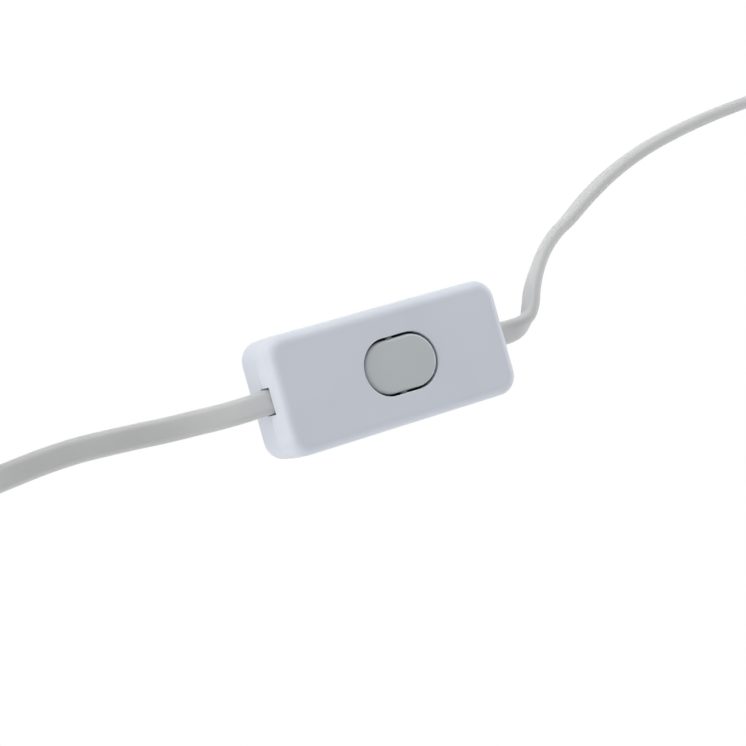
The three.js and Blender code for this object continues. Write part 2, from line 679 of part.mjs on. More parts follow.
// A band round the section of a coil, drawn about the origin with the coil running along Y.
function tie(sectionWide, sectionHigh) {
  const shape = new THREE.Shape();
  const x = sectionWide / 2 + GAP + TIE_THICK;
  const z = sectionHigh + 2 * (GAP + TIE_THICK);
  shape.moveTo(-x, 0).lineTo(x, 0).lineTo(x, z).lineTo(-x, z).lineTo(-x, 0);
  const hole = new THREE.Path();
  const [hx, hz] = [x - TIE_THICK, z - TIE_THICK];
  hole.moveTo(-hx, TIE_THICK).lineTo(-hx, hz).lineTo(hx, hz).lineTo(hx, TIE_THICK);
  hole.closePath();
  shape.holes.push(hole);
  return slab(shape, -TIE_WIDTH / 2, TIE_WIDTH / 2, 1).rotateX(Math.PI / 2);
}

function tiePlaces() {
  const wide = HANK.outer - HANK.inner;
  const high = HANK.layers * LAYER;
  const ringMiddle = (RING.outer + RING.inner) / 2;
  const ringWide = RING.outer - RING.inner;
  const places = [HANK.left + wide / 2, HANK.right - wide / 2].map((x) => ({
    x, y: HANK.y, turn: 0, wide, high,
  }));
  for (const angle of [20, 200]) {
    places.push({
      x: RING.x + ringMiddle * Math.cos(rad(angle)), y: RING.y + ringMiddle * Math.sin(rad(angle)),
      turn: angle, wide: ringWide, high: RING.layers * LAYER,
    });
  }
  return places;
}

// ---------------------------------------------------------------- plug

// Drawn with the pins along +X and the cord's entry at the origin.
const plugFrame = new THREE.Group();
plugFrame.position.set(PLUG.x, PLUG.y, PLUG_Z);
plugFrame.rotation.z = rad(PLUG.turn);

function plugBody() {
  const body = solid(cushion(
    PLUG.length, PLUG.width, PLUG.corner, 2.2, -PLUG.thick / 2, PLUG.thick / 2, 5,
  ).translate(RELIEF.length + PLUG.length / 2, 0, 0));
  const taper = slab(stadium(1, RELIEF.endThick / RELIEF.endWide), 0, 1, 2);
  const at = taper.attributes.position;
  for (let i = 0; i < at.count; i += 1) {
    const t = at.getZ(i);
    const wide = THREE.MathUtils.lerp(RELIEF.endWide, RELIEF.wide, t);
    const thick = THREE.MathUtils.lerp(RELIEF.endThick, RELIEF.thick, t);
    at.setXYZ(
      i, t * (RELIEF.length + 1), at.getX(i) * wide,
      (at.getY(i) * thick * RELIEF.endWide) / RELIEF.endThick,
    );
  }
  const face = RELIEF.length + PLUG.length;
  const sockets = SIDES.map((hand) => solid(rodGeometry(
    face - PIN.seat, face + 1, (hand * PIN.pitch) / 2, 0, PIN.r + 0.2,
  )));
  return cut(join(body, solid(taper)), ...sockets);
}

function plugPin(hand) {
  const face = RELIEF.length + PLUG.length;
  const y = (hand * PIN.pitch) / 2;
  const [seat, neck, tip] = [face - PIN.seat + 0.3, face + PIN.sleeve, face + PIN.length];
  return join(
    solid(rodGeometry(seat, neck + 0.5, y, 0, PIN.r - 0.7)),
    solid(rodGeometry(neck + 0.1, tip - 0.6, y, 0, PIN.r)),
    solid(new THREE.CylinderGeometry(PIN.r - 0.6, PIN.r, 0.7, 12).rotateZ(-Math.PI / 2)
      .translate(tip - 0.35, y, 0)),
  );
}

function pinSleeve(hand) {
  const face = RELIEF.length + PLUG.length;
  const y = (hand * PIN.pitch) / 2;
  return cut(
    solid(rodGeometry(face - PIN.seat + 0.3, face + PIN.sleeve, y, 0, PIN.r - 0.1)),
    solid(rodGeometry(face - PIN.seat - 1, face + PIN.sleeve + 1, y, 0, PIN.r - 0.5)),
  );
}

// ---------------------------------------------------------------- lamp end

const LAMP_END = { x: END_ROUTE.at(-1)[0], y: END_ROUTE.at(-1)[1] };

function lampCorePoints(hand) {
  const z = CORE_R + 0.2;
  const y = LAMP_END.y - 0.4 + hand * CORE_Y;
  return [
    [LAMP_END.x - 0.5, y, z + 0.2], [LAMP_END.x - 2, y + 0.2, z], [136.6, -3.6 + hand * 2.1, z],
    [133, 0.4 + hand * 2.6, z], [130.6, 4.6 + hand * 3, z],
  ];
}

function ferrule(hand) {
  const points = lampCorePoints(hand).map((p) => new THREE.Vector3(...p));
  const way = points.at(-1).clone().sub(points.at(-2)).normalize();
  const start = points.at(-1).clone().addScaledVector(way, GAP);
  const end = start.clone().addScaledVector(way, FERRULE.length);
  return new THREE.ExtrudeGeometry(circle(FERRULE.r, 10), {
    steps: 1, bevelEnabled: false, extrudePath: new THREE.LineCurve3(start, end),
  });
}

// ---------------------------------------------------------------- assembly

add('front_cover', geometryOf(frontCover()), WHITE);
add('rear_cover', geometryOf(rearCover()), WHITE);

assembly.add(rockerFrame);
add('rocker', geometryOf(rocker()), ROCKER_WHITE, rockerFrame);
add('plunger', plunger(), NATURAL, rockerFrame);
add('plunger_spring', spring(), STEEL, rockerFrame);

assembly.add(plateFrame);
add('contact_plate', geometryOf(contactPlate()), BRASS, plateFrame);
add('moving_contact_tip', postGeometry(
  PLATE_REACH, 0, TIP_R, -PLATE_THICK / 2 - TIP_THICK, -PLATE_THICK / 2, 14,
), SILVER, plateFrame);

add('live_in_terminal', geometryOf(liveInTerminal()), BRASS);
add('live_out_terminal', geometryOf(liveOutTerminal()), BRASS);
add('neutral_terminal', geometryOf(neutralTerminal()), BRASS);
add('fixed_contact_tip', postGeometry(
  PIVOT_X + PLATE_REACH, 0, TIP_R,
  FLOOR_Z + STRIP_THICK, FLOOR_Z + STRIP_THICK + TIP_THICK, 14,
), SILVER);

const TERMINAL_SCREWS = {
  live_in: [-BLOCK_X, BLOCK_Y],
  live_out: [BLOCK_X, BLOCK_Y],
  neutral_in: neutralScrewPlaces()[0],
  neutral_out: neutralScrewPlaces()[1],
};
for (const [name, [x, y]] of Object.entries(TERMINAL_SCREWS)) {
  const screw = slottedScrew(
    x, y, WIRE_Z + COPPER_R + GAP, BLOCK_TOP, SCREW.shank, SCREW.head, SCREW.headHigh,
  );
  add(`terminal_screw_${name}`, geometryOf(screw), STEEL);
}

coverScrewPlaces().forEach(([x, y], i) => {
  add(`cover_screw_${i + 1}`, geometryOf(coverScrew(x, y)), STEEL);
});

for (const side of SIDES) {
  const name = side < 0 ? 'left' : 'right';
  add(`cord_clamp_${name}`, geometryOf(clampBar(side)), NATURAL);
}
clampScrewPlaces().forEach(([x, y], i) => {
  const seat = ROOF_Z - GAP - CLAMP_SCREW.sink;
  const screw = slottedScrew(
    x, y, CLAMPED_Z - CLAMP_SCREW.deep, seat, CLAMP_SCREW.shank, CLAMP_SCREW.head,
    CLAMP_SCREW.sink - 0.1,
  );
  add(`clamp_screw_${i + 1}`, geometryOf(screw), STEEL);
});

add('live_core_in', pipe(liveCorePoints(-1), CORE_R), BROWN);
add('live_core_out', pipe(liveCorePoints(1), CORE_R), BROWN);
add('neutral_core_in', pipe(NEUTRAL_IN_POINTS, CORE_R, 8, 24), BLUE);
add('neutral_core_out', pipe(NEUTRAL_OUT_POINTS, CORE_R), BLUE);

const BARE = GAP; // between a core's insulation and its bare copper
const COPPER_ENDS = {
  live_copper_in: [-LIVE_FACE - STRIPPED + BARE, -LIVE_FACE + BLOCK.length - 0.6, BLOCK_Y],
  live_copper_out: [LIVE_FACE - BLOCK.length + 0.6, LIVE_FACE + STRIPPED - BARE, BLOCK_Y],
  neutral_copper_in: [NEUTRAL_LEFT - STRIPPED + BARE, NEUTRAL.x - 0.4, NEUTRAL_Y],
  neutral_copper_out: [NEUTRAL.x + 0.4, NEUTRAL_RIGHT + STRIPPED - BARE, NEUTRAL_Y],
};
for (const [name, [x0, x1, y]] of Object.entries(COPPER_ENDS)) {
  add(name, rodGeometry(x0, x1, y, WIRE_Z, COPPER_R, 8), COPPER);
}

add('cord_left', cordTube(LEFT_ROUTE, 26), CORD_WHITE);
add('cord_left_hank', hank(), CORD_WHITE);
add('cord_left_plug_run', cordTube(PLUG_ROUTE, 16), CORD_WHITE);
add('cord_right', cordTube(RIGHT_ROUTE, 38), CORD_WHITE);
add('cord_right_coil', ring(), CORD_WHITE);
add('cord_right_end', cordTube(END_ROUTE, 10), CORD_WHITE);
tiePlaces().forEach((place, i) => {
  const band = add(`cord_tie_${i + 1}`, tie(place.wide, place.high), BLACK);
  band.position.set(place.x, place.y, 0);
  band.rotation.z = rad(place.turn);
});

assembly.add(plugFrame);
add('plug_body', geometryOf(plugBody()), WHITE, plugFrame);
for (const hand of SIDES) {
  const name = hand < 0 ? 'a' : 'b';
  add(`plug_pin_${name}`, geometryOf(plugPin(hand)), SILVER, plugFrame);
  add(`pin_sleeve_${name}`, geometryOf(pinSleeve(hand)), WHITE, plugFrame);
}

for (const hand of SIDES) {
  const name = hand < 0 ? 'live' : 'neutral';
  add(`lamp_core_${name}`, pipe(lampCorePoints(hand), CORE_R, 8, 10), hand < 0 ? BROWN : BLUE);
  add(`ferrule_${name}`, ferrule(hand), SILVER);
}

export default assembly;
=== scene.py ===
"""An inline rocker switch in a flat two-core lead, with its plug and its bare lamp end.

The frame gives every piece's place. Each operator makes one piece or one group of like pieces,
in metres, and the panel in the 3D view's sidebar lists them in the order in which they run.
"""

import json
import math

import bmesh
import bpy
import numpy as np
from mathutils import Matrix, Vector


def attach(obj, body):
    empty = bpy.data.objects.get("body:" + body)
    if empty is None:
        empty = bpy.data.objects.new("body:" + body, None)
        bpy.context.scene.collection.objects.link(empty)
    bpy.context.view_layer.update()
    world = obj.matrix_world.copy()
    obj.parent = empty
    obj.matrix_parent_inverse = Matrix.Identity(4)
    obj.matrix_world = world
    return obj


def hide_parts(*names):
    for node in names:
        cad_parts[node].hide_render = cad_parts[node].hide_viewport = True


bl_info = {
    "name": "Inline Cord Switch",
    "version": (1, 0, 0),
    "blender": (4, 5, 0),
    "location": "View3D > Sidebar > Cord Switch",
    "description": "Makes an inline rocker switch with its flat lead, plug and lamp end",
    "category": "Object",
}

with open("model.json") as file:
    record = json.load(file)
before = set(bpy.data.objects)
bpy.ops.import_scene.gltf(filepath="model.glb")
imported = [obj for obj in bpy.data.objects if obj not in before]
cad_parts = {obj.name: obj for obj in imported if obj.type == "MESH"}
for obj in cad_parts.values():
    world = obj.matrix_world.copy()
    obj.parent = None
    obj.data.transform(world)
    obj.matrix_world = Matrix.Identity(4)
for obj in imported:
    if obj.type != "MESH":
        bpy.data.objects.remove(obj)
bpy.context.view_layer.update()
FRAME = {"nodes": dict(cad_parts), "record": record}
MM = 0.001


# ---------------------------------------------------------------- sizes and colours


def millimetres(name, description, value):
    return bpy.props.FloatProperty(
        name=name, description=description, default=value * MM, unit="LENGTH", precision=5
    )


def colour(name, description, value):
    return bpy.props.FloatVectorProperty(
        name=name, description=description, default=value, size=3, min=0, max=1, subtype="COLOR"
    )


class HousingSizes(bpy.types.PropertyGroup):
    length: millimetres("Length", "Housing along the cord", 56.5)
    width: millimetres("Width", "Housing across the cord", 25)
    height: millimetres("Height", "Rear face to front face", 13.5)
    parting: millimetres("Parting height", "Where the two covers meet", 7.6)
    wall: millimetres("Wall", "Thickness of both covers", 1.5)
    corner: millimetres("Corner radius", "Corners seen from the front", 4.3)
    front_edge: millimetres("Front edge", "Rounding of the front face", 2.3)
    rear_edge: millimetres("Rear edge", "Rounding of the rear face", 2.1)
    seam: millimetres("Seam edge", "Rounding on each side of the parting line", 0.18)
    mouth: millimetres("Opening edge", "Rounding of the rocker's opening", 0.22)
    colour: colour("Colour", "Moulded covers", (0.715, 0.755, 0.83))


class RockerSizes(bpy.types.PropertyGroup):
    length: millimetres("Length", "Rocker along the housing", 16.8)
    width: millimetres("Width", "Rocker across the housing", 11.1)
    clear: millimetres("Clearance", "Gap between the rocker and its opening", 0.5)
    opening_x: millimetres("Opening place", "Middle of the opening from the housing's", 1.1)
    pivot_x: millimetres("Pivot place", "Pivot from the housing's middle", 1.2)
    pivot_drop: millimetres("Pivot depth", "Pivot below the front face", 2.7)
    top: millimetres("Top", "Face above the pivot", 2.8)
    skirt: millimetres("Skirt", "Skirt below the pivot", 0.8)
    edge: millimetres("Edge", "Rounding of the face's rim", 0.75)
    crown: millimetres("Crown", "How far the face rises to its middle", 0.1)
    tilt: bpy.props.FloatProperty(
        name="Tilt", description="Rest angle", default=math.radians(-3), subtype="ANGLE"
    )
    colour: colour("Colour", "Rocker", (0.565, 0.605, 0.625))


class CordSizes(bpy.types.PropertyGroup):
    wide: millimetres("Width", "Flat cord's wide side", 5.1)
    thick: millimetres("Thickness", "Flat cord's thin side", 2.8)
    core: millimetres("Core", "Core's insulation across", 2.0)
    step: millimetres("Step", "Length of one ring of the sheath's mesh", 1.0)
    colour: colour("Sheath colour", "Outer sheath", (0.645, 0.65, 0.655))
    brown: colour("Live core", "Insulation of the live core", (0.16, 0.055, 0.022))
    blue: colour("Neutral core", "Insulation of the neutral core", (0.025, 0.13, 0.46))
    tie_colour: colour("Tie colour", "Rubber bands round the coils", (0.02, 0.02, 0.021))


class PlugSizes(bpy.types.PropertyGroup):
    x: millimetres("Entry X", "Where the cord enters the relief", -121.65)
    y: millimetres("Entry Y", "Where the cord enters the relief", 5.6)
    z: millimetres("Entry Z", "Middle of the plug above the table", 18.55)
    turn: bpy.props.FloatProperty(
        name="Turn", description="Pins' heading", default=math.radians(160), subtype="ANGLE"
    )
    width: millimetres("Width", "Body across the pins", 35.3)
    thick: millimetres("Thickness", "Body's flat side", 13.7)
    length: millimetres("Length", "Body from the relief to the pin face", 26)
    relief: millimetres("Relief", "Tapered relief's length", 22)
    pitch: millimetres("Pin pitch", "Between the pins' middles", 18.6)
    pin: millimetres("Pin", "Pin across", 4)
    colour: colour("Colour", "Moulded plug", (0.72, 0.73, 0.745))


class StageSizes(bpy.types.PropertyGroup):
    distance: millimetres("Distance", "Camera from what it looks at", 416.64)
    azimuth: bpy.props.FloatProperty(
        name="Azimuth", description="Lean towards -X", default=math.radians(29.98), subtype="ANGLE"
    )
    elevation: bpy.props.FloatProperty(
        name="Elevation", description="Lean towards +Y", default=math.radians(1.578),
        subtype="ANGLE",
    )
    roll: bpy.props.FloatProperty(
        name="Roll", description="Turn about the line of sight", default=math.radians(-15.618),
        subtype="ANGLE",
    )
    lens: bpy.props.FloatProperty(
        name="Lens", description="Focal length", default=97.12, unit="CAMERA"
    )
    aim_height: millimetres("Aim height", "Point looked at above the table", 6.75)
    aim_right: millimetres("Aim right", "Picture's middle from that point", -1.66)
    aim_up: millimetres("Aim up", "Picture's middle from that point", -0.918)
    floor: colour("Floor colour", "Table under the object", (0.80, 0.80, 0.80))


GROUPS = {
    "switch_housing": HousingSizes,
    "switch_rocker": RockerSizes,
    "switch_cord": CordSizes,
    "switch_plug": PlugSizes,
    "switch_stage": StageSizes,
}


# ---------------------------------------------------------------- shared shading effects


def new_group(name, inputs, outputs):
    tree = bpy.data.node_groups.new(name, "ShaderNodeTree")
    for label, kind, value in inputs:
        socket = tree.interface.new_socket(label, in_out="INPUT", socket_type=kind)
        if value is not None:
            socket.default_value = value
    for label, kind in outputs:
        tree.interface.new_socket(label, in_out="OUTPUT", socket_type=kind)
    return tree, tree.nodes.new("NodeGroupInput"), tree.nodes.new("NodeGroupOutput")


def noise(tree, vector, scale, detail=3.0, roughness=0.5):
    node = tree.nodes.new("ShaderNodeTexNoise")
    node.inputs["Detail"].default_value = detail
    node.inputs["Roughness"].default_value = roughness
    tree.links.new(vector, node.inputs["Vector"])
    if isinstance(scale, (int, float)):
        node.inputs["Scale"].default_value = scale
    else:
        tree.links.new(scale, node.inputs["Scale"])
    return node.outputs["Fac"]


def spread(tree, value, low, high, to_low=0.0, to_high=1.0):
    node = tree.nodes.new("ShaderNodeMapRange")
    node.interpolation_type = "SMOOTHSTEP"
    for label, number in (("From Min", low), ("From Max", high)):
        node.inputs[label].default_value = number
    for label, number in (("To Min", to_low), ("To Max", to_high)):
        if isinstance(number, (int, float)):
            node.inputs[label].default_value = number
        else:
            tree.links.new(number, node.inputs[label])
    tree.links.new(value, node.inputs["Value"])
    return node.outputs["Result"]


def moulding_group():
    """Fine spark-eroded texture, slow shade changes and dull handled patches of moulded plastic."""
    tree, given, result = new_group(
        "Moulded surface",
        [
            ("Vector", "NodeSocketVector", None),
            ("Grain Scale", "NodeSocketFloat", 4000.0),
            ("Patch Scale", "NodeSocketFloat", 60.0),
            ("Smooth", "NodeSocketFloat", 0.3),
            ("Dull", "NodeSocketFloat", 0.4),
        ],
        [
            ("Height", "NodeSocketFloat"),
            ("Shade", "NodeSocketFloat"),
            ("Roughness", "NodeSocketFloat"),
        ],
    )
    vector = given.outputs["Vector"]
    grain = noise(tree, vector, given.outputs["Grain Scale"], 2.0, 0.6)
    patches = noise(tree, vector, given.outputs["Patch Scale"], 4.0, 0.55)
    dull = spread(
        tree, patches, 0.35, 0.7, given.outputs["Smooth"], given.outputs["Dull"]
    )
    tree.links.new(grain, result.inputs["Height"])
    tree.links.new(spread(tree, patches, 0.3, 0.75), result.inputs["Shade"])
    tree.links.new(dull, result.inputs["Roughness"])
    return tree


def drawn_metal_group():
    """Fine lines along one direction, as on drawn or turned metal, with faint tarnish."""
    tree, given, result = new_group(
        "Drawn metal",
        [
            ("Vector", "NodeSocketVector", None),
            ("Line Scale", "NodeSocketFloat", 900.0),
            ("Bright", "NodeSocketFloat", 0.2),
            ("Dull", "NodeSocketFloat", 0.4),
        ],
        [
            ("Height", "NodeSocketFloat"),
            ("Tarnish", "NodeSocketFloat"),
            ("Roughness", "NodeSocketFloat"),
        ],
    )
    stretch = tree.nodes.new("ShaderNodeMapping")
    stretch.inputs["Scale"].default_value = (0.08, 1.0, 1.0)
    tree.links.new(given.outputs["Vector"], stretch.inputs["Vector"])
    lines = noise(tree, stretch.outputs["Vector"], given.outputs["Line Scale"], 2.0, 0.5)
    stains = noise(tree, given.outputs["Vector"], 350.0, 4.0, 0.6)
    rough = spread(tree, stains, 0.3, 0.7, given.outputs["Bright"], given.outputs["Dull"])
    tree.links.new(lines, result.inputs["Height"])
    tree.links.new(spread(tree, stains, 0.45, 0.8), result.inputs["Tarnish"])
    tree.links.new(rough, result.inputs["Roughness"])
    return tree


def extruded_group():
    """Long faint streaks of an extruded sheath, read from its own map along the cord."""
    tree, given, result = new_group(
        "Extruded sheath",
        [
            ("Map", "NodeSocketVector", None),
            ("Streaks", "NodeSocketFloat", 30.0),
            ("Smooth", "NodeSocketFloat", 0.35),
            ("Dull", "NodeSocketFloat", 0.5),
        ],
        [
            ("Height", "NodeSocketFloat"),
            ("Shade", "NodeSocketFloat"),
            ("Roughness", "NodeSocketFloat"),
        ],
    )
    stretch = tree.nodes.new("ShaderNodeMapping")
    stretch.inputs["Scale"].default_value = (1.0, 2.0, 1.0)
    tree.links.new(given.outputs["Map"], stretch.inputs["Vector"])
    streaks = noise(tree, stretch.outputs["Vector"], given.outputs["Streaks"], 3.0, 0.6)
    dull = spread(tree, streaks, 0.3, 0.7, given.outputs["Smooth"], given.outputs["Dull"])
    tree.links.new(streaks, result.inputs["Height"])
    tree.links.new(spread(tree, streaks, 0.25, 0.75), result.inputs["Shade"])
    tree.links.new(dull, result.inputs["Roughness"])
    return tree


# ---------------------------------------------------------------- materials


def shader(name):
    material = bpy.data.materials.new(name)
    material.use_nodes = True
    return material, material.node_tree, material.node_tree.nodes["Principled BSDF"]


def group_node(tree, group, **values):
    node = tree.nodes.new("ShaderNodeGroup")
    node.node_tree = group
    for label, value in values.items():
        node.inputs[label.replace("_", " ")].default_value = value
    return node


def tinted(tree, factor, base, other):
    mix = tree.nodes.new("ShaderNodeMix")
    mix.data_type = "RGBA"
    mix.inputs["A"].default_value = (*base, 1.0)
    mix.inputs["B"].default_value = (*other, 1.0)
    tree.links.new(factor, mix.inputs["Factor"])
    return mix.outputs["Result"]


def dented(tree, height, depth, strength=1.0):
    bump = tree.nodes.new("ShaderNodeBump")
    bump.inputs["Distance"].default_value = depth
    bump.inputs["Strength"].default_value = strength
    tree.links.new(height, bump.inputs["Height"])
    return bump.outputs["Normal"]


def shade_of(colour_value, amount):
    return tuple(channel * amount for channel in colour_value)


def plastic(name, base, smooth, dull, grain=4000.0, depth=0.000004, patch=60.0, darker=0.965):
    material, tree, principled = shader(name)
    place = tree.nodes.new("ShaderNodeTexCoord").outputs["Object"]
    surface = group_node(
        tree, EFFECTS["moulded"], Grain_Scale=grain, Patch_Scale=patch, Smooth=smooth, Dull=dull
    )
    links = tree.links
    links.new(place, surface.inputs["Vector"])
    tint = tinted(tree, surface.outputs["Shade"], base, shade_of(base, darker))
    links.new(tint, principled.inputs["Base Color"])
    links.new(surface.outputs["Roughness"], principled.inputs["Roughness"])
    links.new(dented(tree, surface.outputs["Height"], depth), principled.inputs["Normal"])
    return material


def metal(name, base, tarnished, bright, dull, depth=0.000003, lines=900.0):
    material, tree, principled = shader(name)
    place = tree.nodes.new("ShaderNodeTexCoord").outputs["Object"]
    surface = group_node(
        tree, EFFECTS["drawn"], Line_Scale=lines, Bright=bright, Dull=dull
    )
    links = tree.links
    links.new(place, surface.inputs["Vector"])
    tint = tinted(tree, surface.outputs["Tarnish"], base, tarnished)
    links.new(tint, principled.inputs["Base Color"])
    links.new(surface.outputs["Roughness"], principled.inputs["Roughness"])
    links.new(dented(tree, surface.outputs["Height"], depth, 0.5), principled.inputs["Normal"])
    principled.inputs["Metallic"].default_value = 1.0
    return material


def sheath(name, base):
    material, tree, principled = shader(name)
    wound = tree.nodes.new("ShaderNodeUVMap")
    wound.uv_map = "Around and along"
    surface = group_node(tree, EFFECTS["extruded"], Streaks=6.0, Smooth=0.34, Dull=0.46)
    links = tree.links
    links.new(wound.outputs["UV"], surface.inputs["Map"])
    tint = tinted(tree, surface.outputs["Shade"], base, shade_of(base, 0.955))
    links.new(tint, principled.inputs["Base Color"])
    links.new(surface.outputs["Roughness"], principled.inputs["Roughness"])
    links.new(dented(tree, surface.outputs["Height"], 0.000004), principled.inputs["Normal"])
    return material


EFFECTS = {}
FINISHES = {}


def make_finishes(scene):
    EFFECTS["moulded"] = moulding_group()
    EFFECTS["drawn"] = drawn_metal_group()
    EFFECTS["extruded"] = extruded_group()
    housing, rocker = scene.switch_housing, scene.switch_rocker
    cord, plug = scene.switch_cord, scene.switch_plug
    FINISHES.update({
        "housing": plastic("Moulded white cover", tuple(housing.colour), 0.34, 0.42),
        "rocker": plastic("Polished white rocker", tuple(rocker.colour), 0.16, 0.24, depth=0.000001),
        "cord": sheath("Flexible PVC sheath", tuple(cord.colour)),
        "plug": plastic("Moulded PVC plug", tuple(plug.colour), 0.42, 0.52, 2500.0, 0.00001),
        "sleeve": plastic("White pin insulation", (0.68, 0.69, 0.70), 0.35, 0.45),
        "tie": plastic("Black rubber band", tuple(cord.tie_colour), 0.55, 0.75, 1500.0, 0.00001),
        "brown_core": plastic("Brown core insulation", tuple(cord.brown), 0.38, 0.5),
        "blue_core": plastic("Blue core insulation", tuple(cord.blue), 0.38, 0.5),
        "inner_plastic": plastic("Natural nylon", (0.66, 0.62, 0.50), 0.4, 0.55, 1800.0),
        "copper": metal("Stranded copper", (0.80, 0.38, 0.22), (0.42, 0.17, 0.09), 0.25, 0.45),
        "brass": metal("Stamped brass", (0.80, 0.60, 0.27), (0.52, 0.36, 0.14), 0.22, 0.4),
        "silver": metal("Silver contact face", (0.86, 0.85, 0.82), (0.5, 0.48, 0.44), 0.2, 0.4),
        "steel": metal("Zinc plated steel", (0.62, 0.63, 0.65), (0.42, 0.42, 0.43), 0.28, 0.45),
        "pin": metal("Nickel plated brass", (0.74, 0.71, 0.66), (0.56, 0.53, 0.48), 0.14, 0.26),
        "ferrule": metal("Tinned sleeve", (0.78, 0.78, 0.79), (0.55, 0.55, 0.56), 0.22, 0.38),
    })


# ---------------------------------------------------------------- mesh helpers


def mesh_object(name, bm, finish=None):
    mesh = bpy.data.meshes.new(name)
    bm.to_mesh(mesh)
    bm.free()
    piece = bpy.data.objects.new(name, mesh)
    bpy.context.scene.collection.objects.link(piece)
    if finish:
        mesh.materials.append(FINISHES[finish])
    return piece


def smooth(piece, angle=30):
    mesh = piece.data
    mesh.polygons.foreach_set("use_smooth", [True] * len(mesh.polygons))
    mesh.set_sharp_from_angle(angle=math.radians(angle))


def applied(piece):
    """Turns what the modifiers make into the piece's own mesh."""
    graph = bpy.context.evaluated_depsgraph_get()
    mesh = bpy.data.meshes.new_from_object(piece.evaluated_get(graph))
    piece.modifiers.clear()
    old = piece.data
    mesh.name = old.name
    piece.data = mesh
    bpy.data.meshes.remove(old)
    return piece


def even_normals(piece):
    """Keeps large flat faces flat where they meet a rounded edge."""
    smooth(piece)
    weighted = piece.modifiers.new("weighted", "WEIGHTED_NORMAL")
    weighted.keep_sharp = True
    weighted.weight = 100
    return applied(piece)


def cut_or_join(piece, tools, operation):
    for tool in tools:
        change = piece.modifiers.new(tool.name, "BOOLEAN")
        change.operation = operation
        change.solver = "MANIFOLD"
        change.object = tool
        applied(piece)
        bpy.data.objects.remove(tool)
    return piece


def rounded_outline(length, width, corner, arc=12):
    points = []
    for quadrant, (sx, sy) in enumerate(((1, 1), (-1, 1), (-1, -1), (1, -1))):
        centre = (sx * (length / 2 - corner), sy * (width / 2 - corner))
        for i in range(arc + 1):
            angle = (quadrant + i / arc) * math.pi / 2
            points.append((
                centre[0] + corner * math.cos(angle), centre[1] + corner * math.sin(angle)
            ))
    return points


def loft(name, rings, finish=None):
    """A closed body through rings of equally many points, listed from bottom to top."""
    bm = bmesh.new()
    loops = [[bm.verts.new(point) for point in ring] for ring in rings]
    count = len(loops[0])
    for low, high in zip(loops, loops[1:]):
        for i in range(count):
            j = (i + 1) % count
            bm.faces.new((low[i], low[j], high[j], high[i]))
    bm.faces.new(list(reversed(loops[0])))
    bm.faces.new(loops[-1])
    bmesh.ops.remove_doubles(bm, verts=bm.verts, dist=1e-8)
    bmesh.ops.recalc_face_normals(bm, faces=bm.faces)
    return mesh_object(name, bm, finish)


def quarter(radius, steps):
    """Insets and depths of a rounded edge, from its start on the wall to its end on the face."""
    return [
        (radius * (1 - math.cos(a)), radius * math.sin(a))
        for a in (math.pi / 2 * i / steps for i in range(steps + 1))
    ]


def block(name, low, high):
    bm = bmesh.new()
    bmesh.ops.create_cube(bm, size=1)
    size = Vector(high) - Vector(low)
    middle = (Vector(high) + Vector(low)) / 2
    bmesh.ops.scale(bm, vec=size, verts=bm.verts)
    bmesh.ops.translate(bm, vec=middle, verts=bm.verts)
    return mesh_object(name, bm)


def turned(name, profile, place=(0, 0, 0), axis=(0, 0, 1), sides=40, finish=None):
    """A closed turned body: profile lists (radius, height) from bottom to top."""
    frame = Vector((0, 0, 1)).rotation_difference(Vector(axis)).to_matrix()
    rings = []
    for radius, height in profile:
        rings.append([
            Vector(place) + frame @ Vector((
                radius * math.cos(2 * math.pi * i / sides),
                radius * math.sin(2 * math.pi * i / sides),
                height,
            ))
            for i in range(sides)
        ])
    return loft(name, rings, finish)


def node_copy(name, node):
    """A merged copy of a frame solid, to carry its inner shapes over."""
    bm = bmesh.new()
    bm.from_mesh(FRAME["nodes"][node].data)
    bmesh.ops.remove_doubles(bm, verts=bm.verts, dist=2e-6)
    return mesh_object(name, bm)


def settle(piece, node_slot, body, *nodes):
    """Places a finished piece on its body, in place of frame nodes; the material slot it is given is
    not used.
    """
    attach(piece, body)
    if nodes:
        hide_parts(*nodes)
    return piece


# ---------------------------------------------------------------- covers


def cover_ring(sizes, z, inset, arc=14):
    outline = rounded_outline(
        sizes.length - 2 * inset, sizes.width - 2 * inset, sizes.corner - inset, arc
    )
    lean = 2 * 0.025 * abs(z - sizes.parting)
    return [
        (x * (1 - lean / sizes.length), y * (1 - lean / sizes.width), z) for x, y in outline
    ]


def cover_skin(sizes, front):
    edge = sizes.front_edge if front else sizes.rear_edge
    face = sizes.height if front else 0.0
    way = 1 if front else -1
    rings = [
        cover_ring(sizes, sizes.parting + way * (sizes.seam - rise), inset)
        for inset, rise in reversed(quarter(sizes.seam, 4))
    ]
    rings += [cover_ring(sizes, face - way * (edge - rise), inset) for inset, rise in quarter(edge, 14)]
    return loft("front_shell" if front else "rear_shell", rings if front else rings[::-1])


def cavity(sizes):
    wall = sizes.wall - 0.01 * MM
    outline = rounded_outline(
        sizes.length - 2 * wall, sizes.width - 2 * wall, sizes.corner - wall, 8
    )
    levels = (wall, sizes.height - wall)
    return loft("cavity", [[(x, y, z) for x, y in outline] for z in levels])


def inner_shapes(sizes, node):
    """The bosses, cheeks and saddles inside a cover."""
    shapes = node_copy("inner_" + node, node)
    reach = sizes.wall - 0.2 * MM
    outline = rounded_outline(
        sizes.length - 2 * reach, sizes.width - 2 * reach, sizes.corner - reach, 8
    )
    levels = (reach, sizes.height - reach)
    room = loft("room", [[(x, y, z) for x, y in outline] for z in levels])
    return cut_or_join(shapes, [room], "INTERSECT")


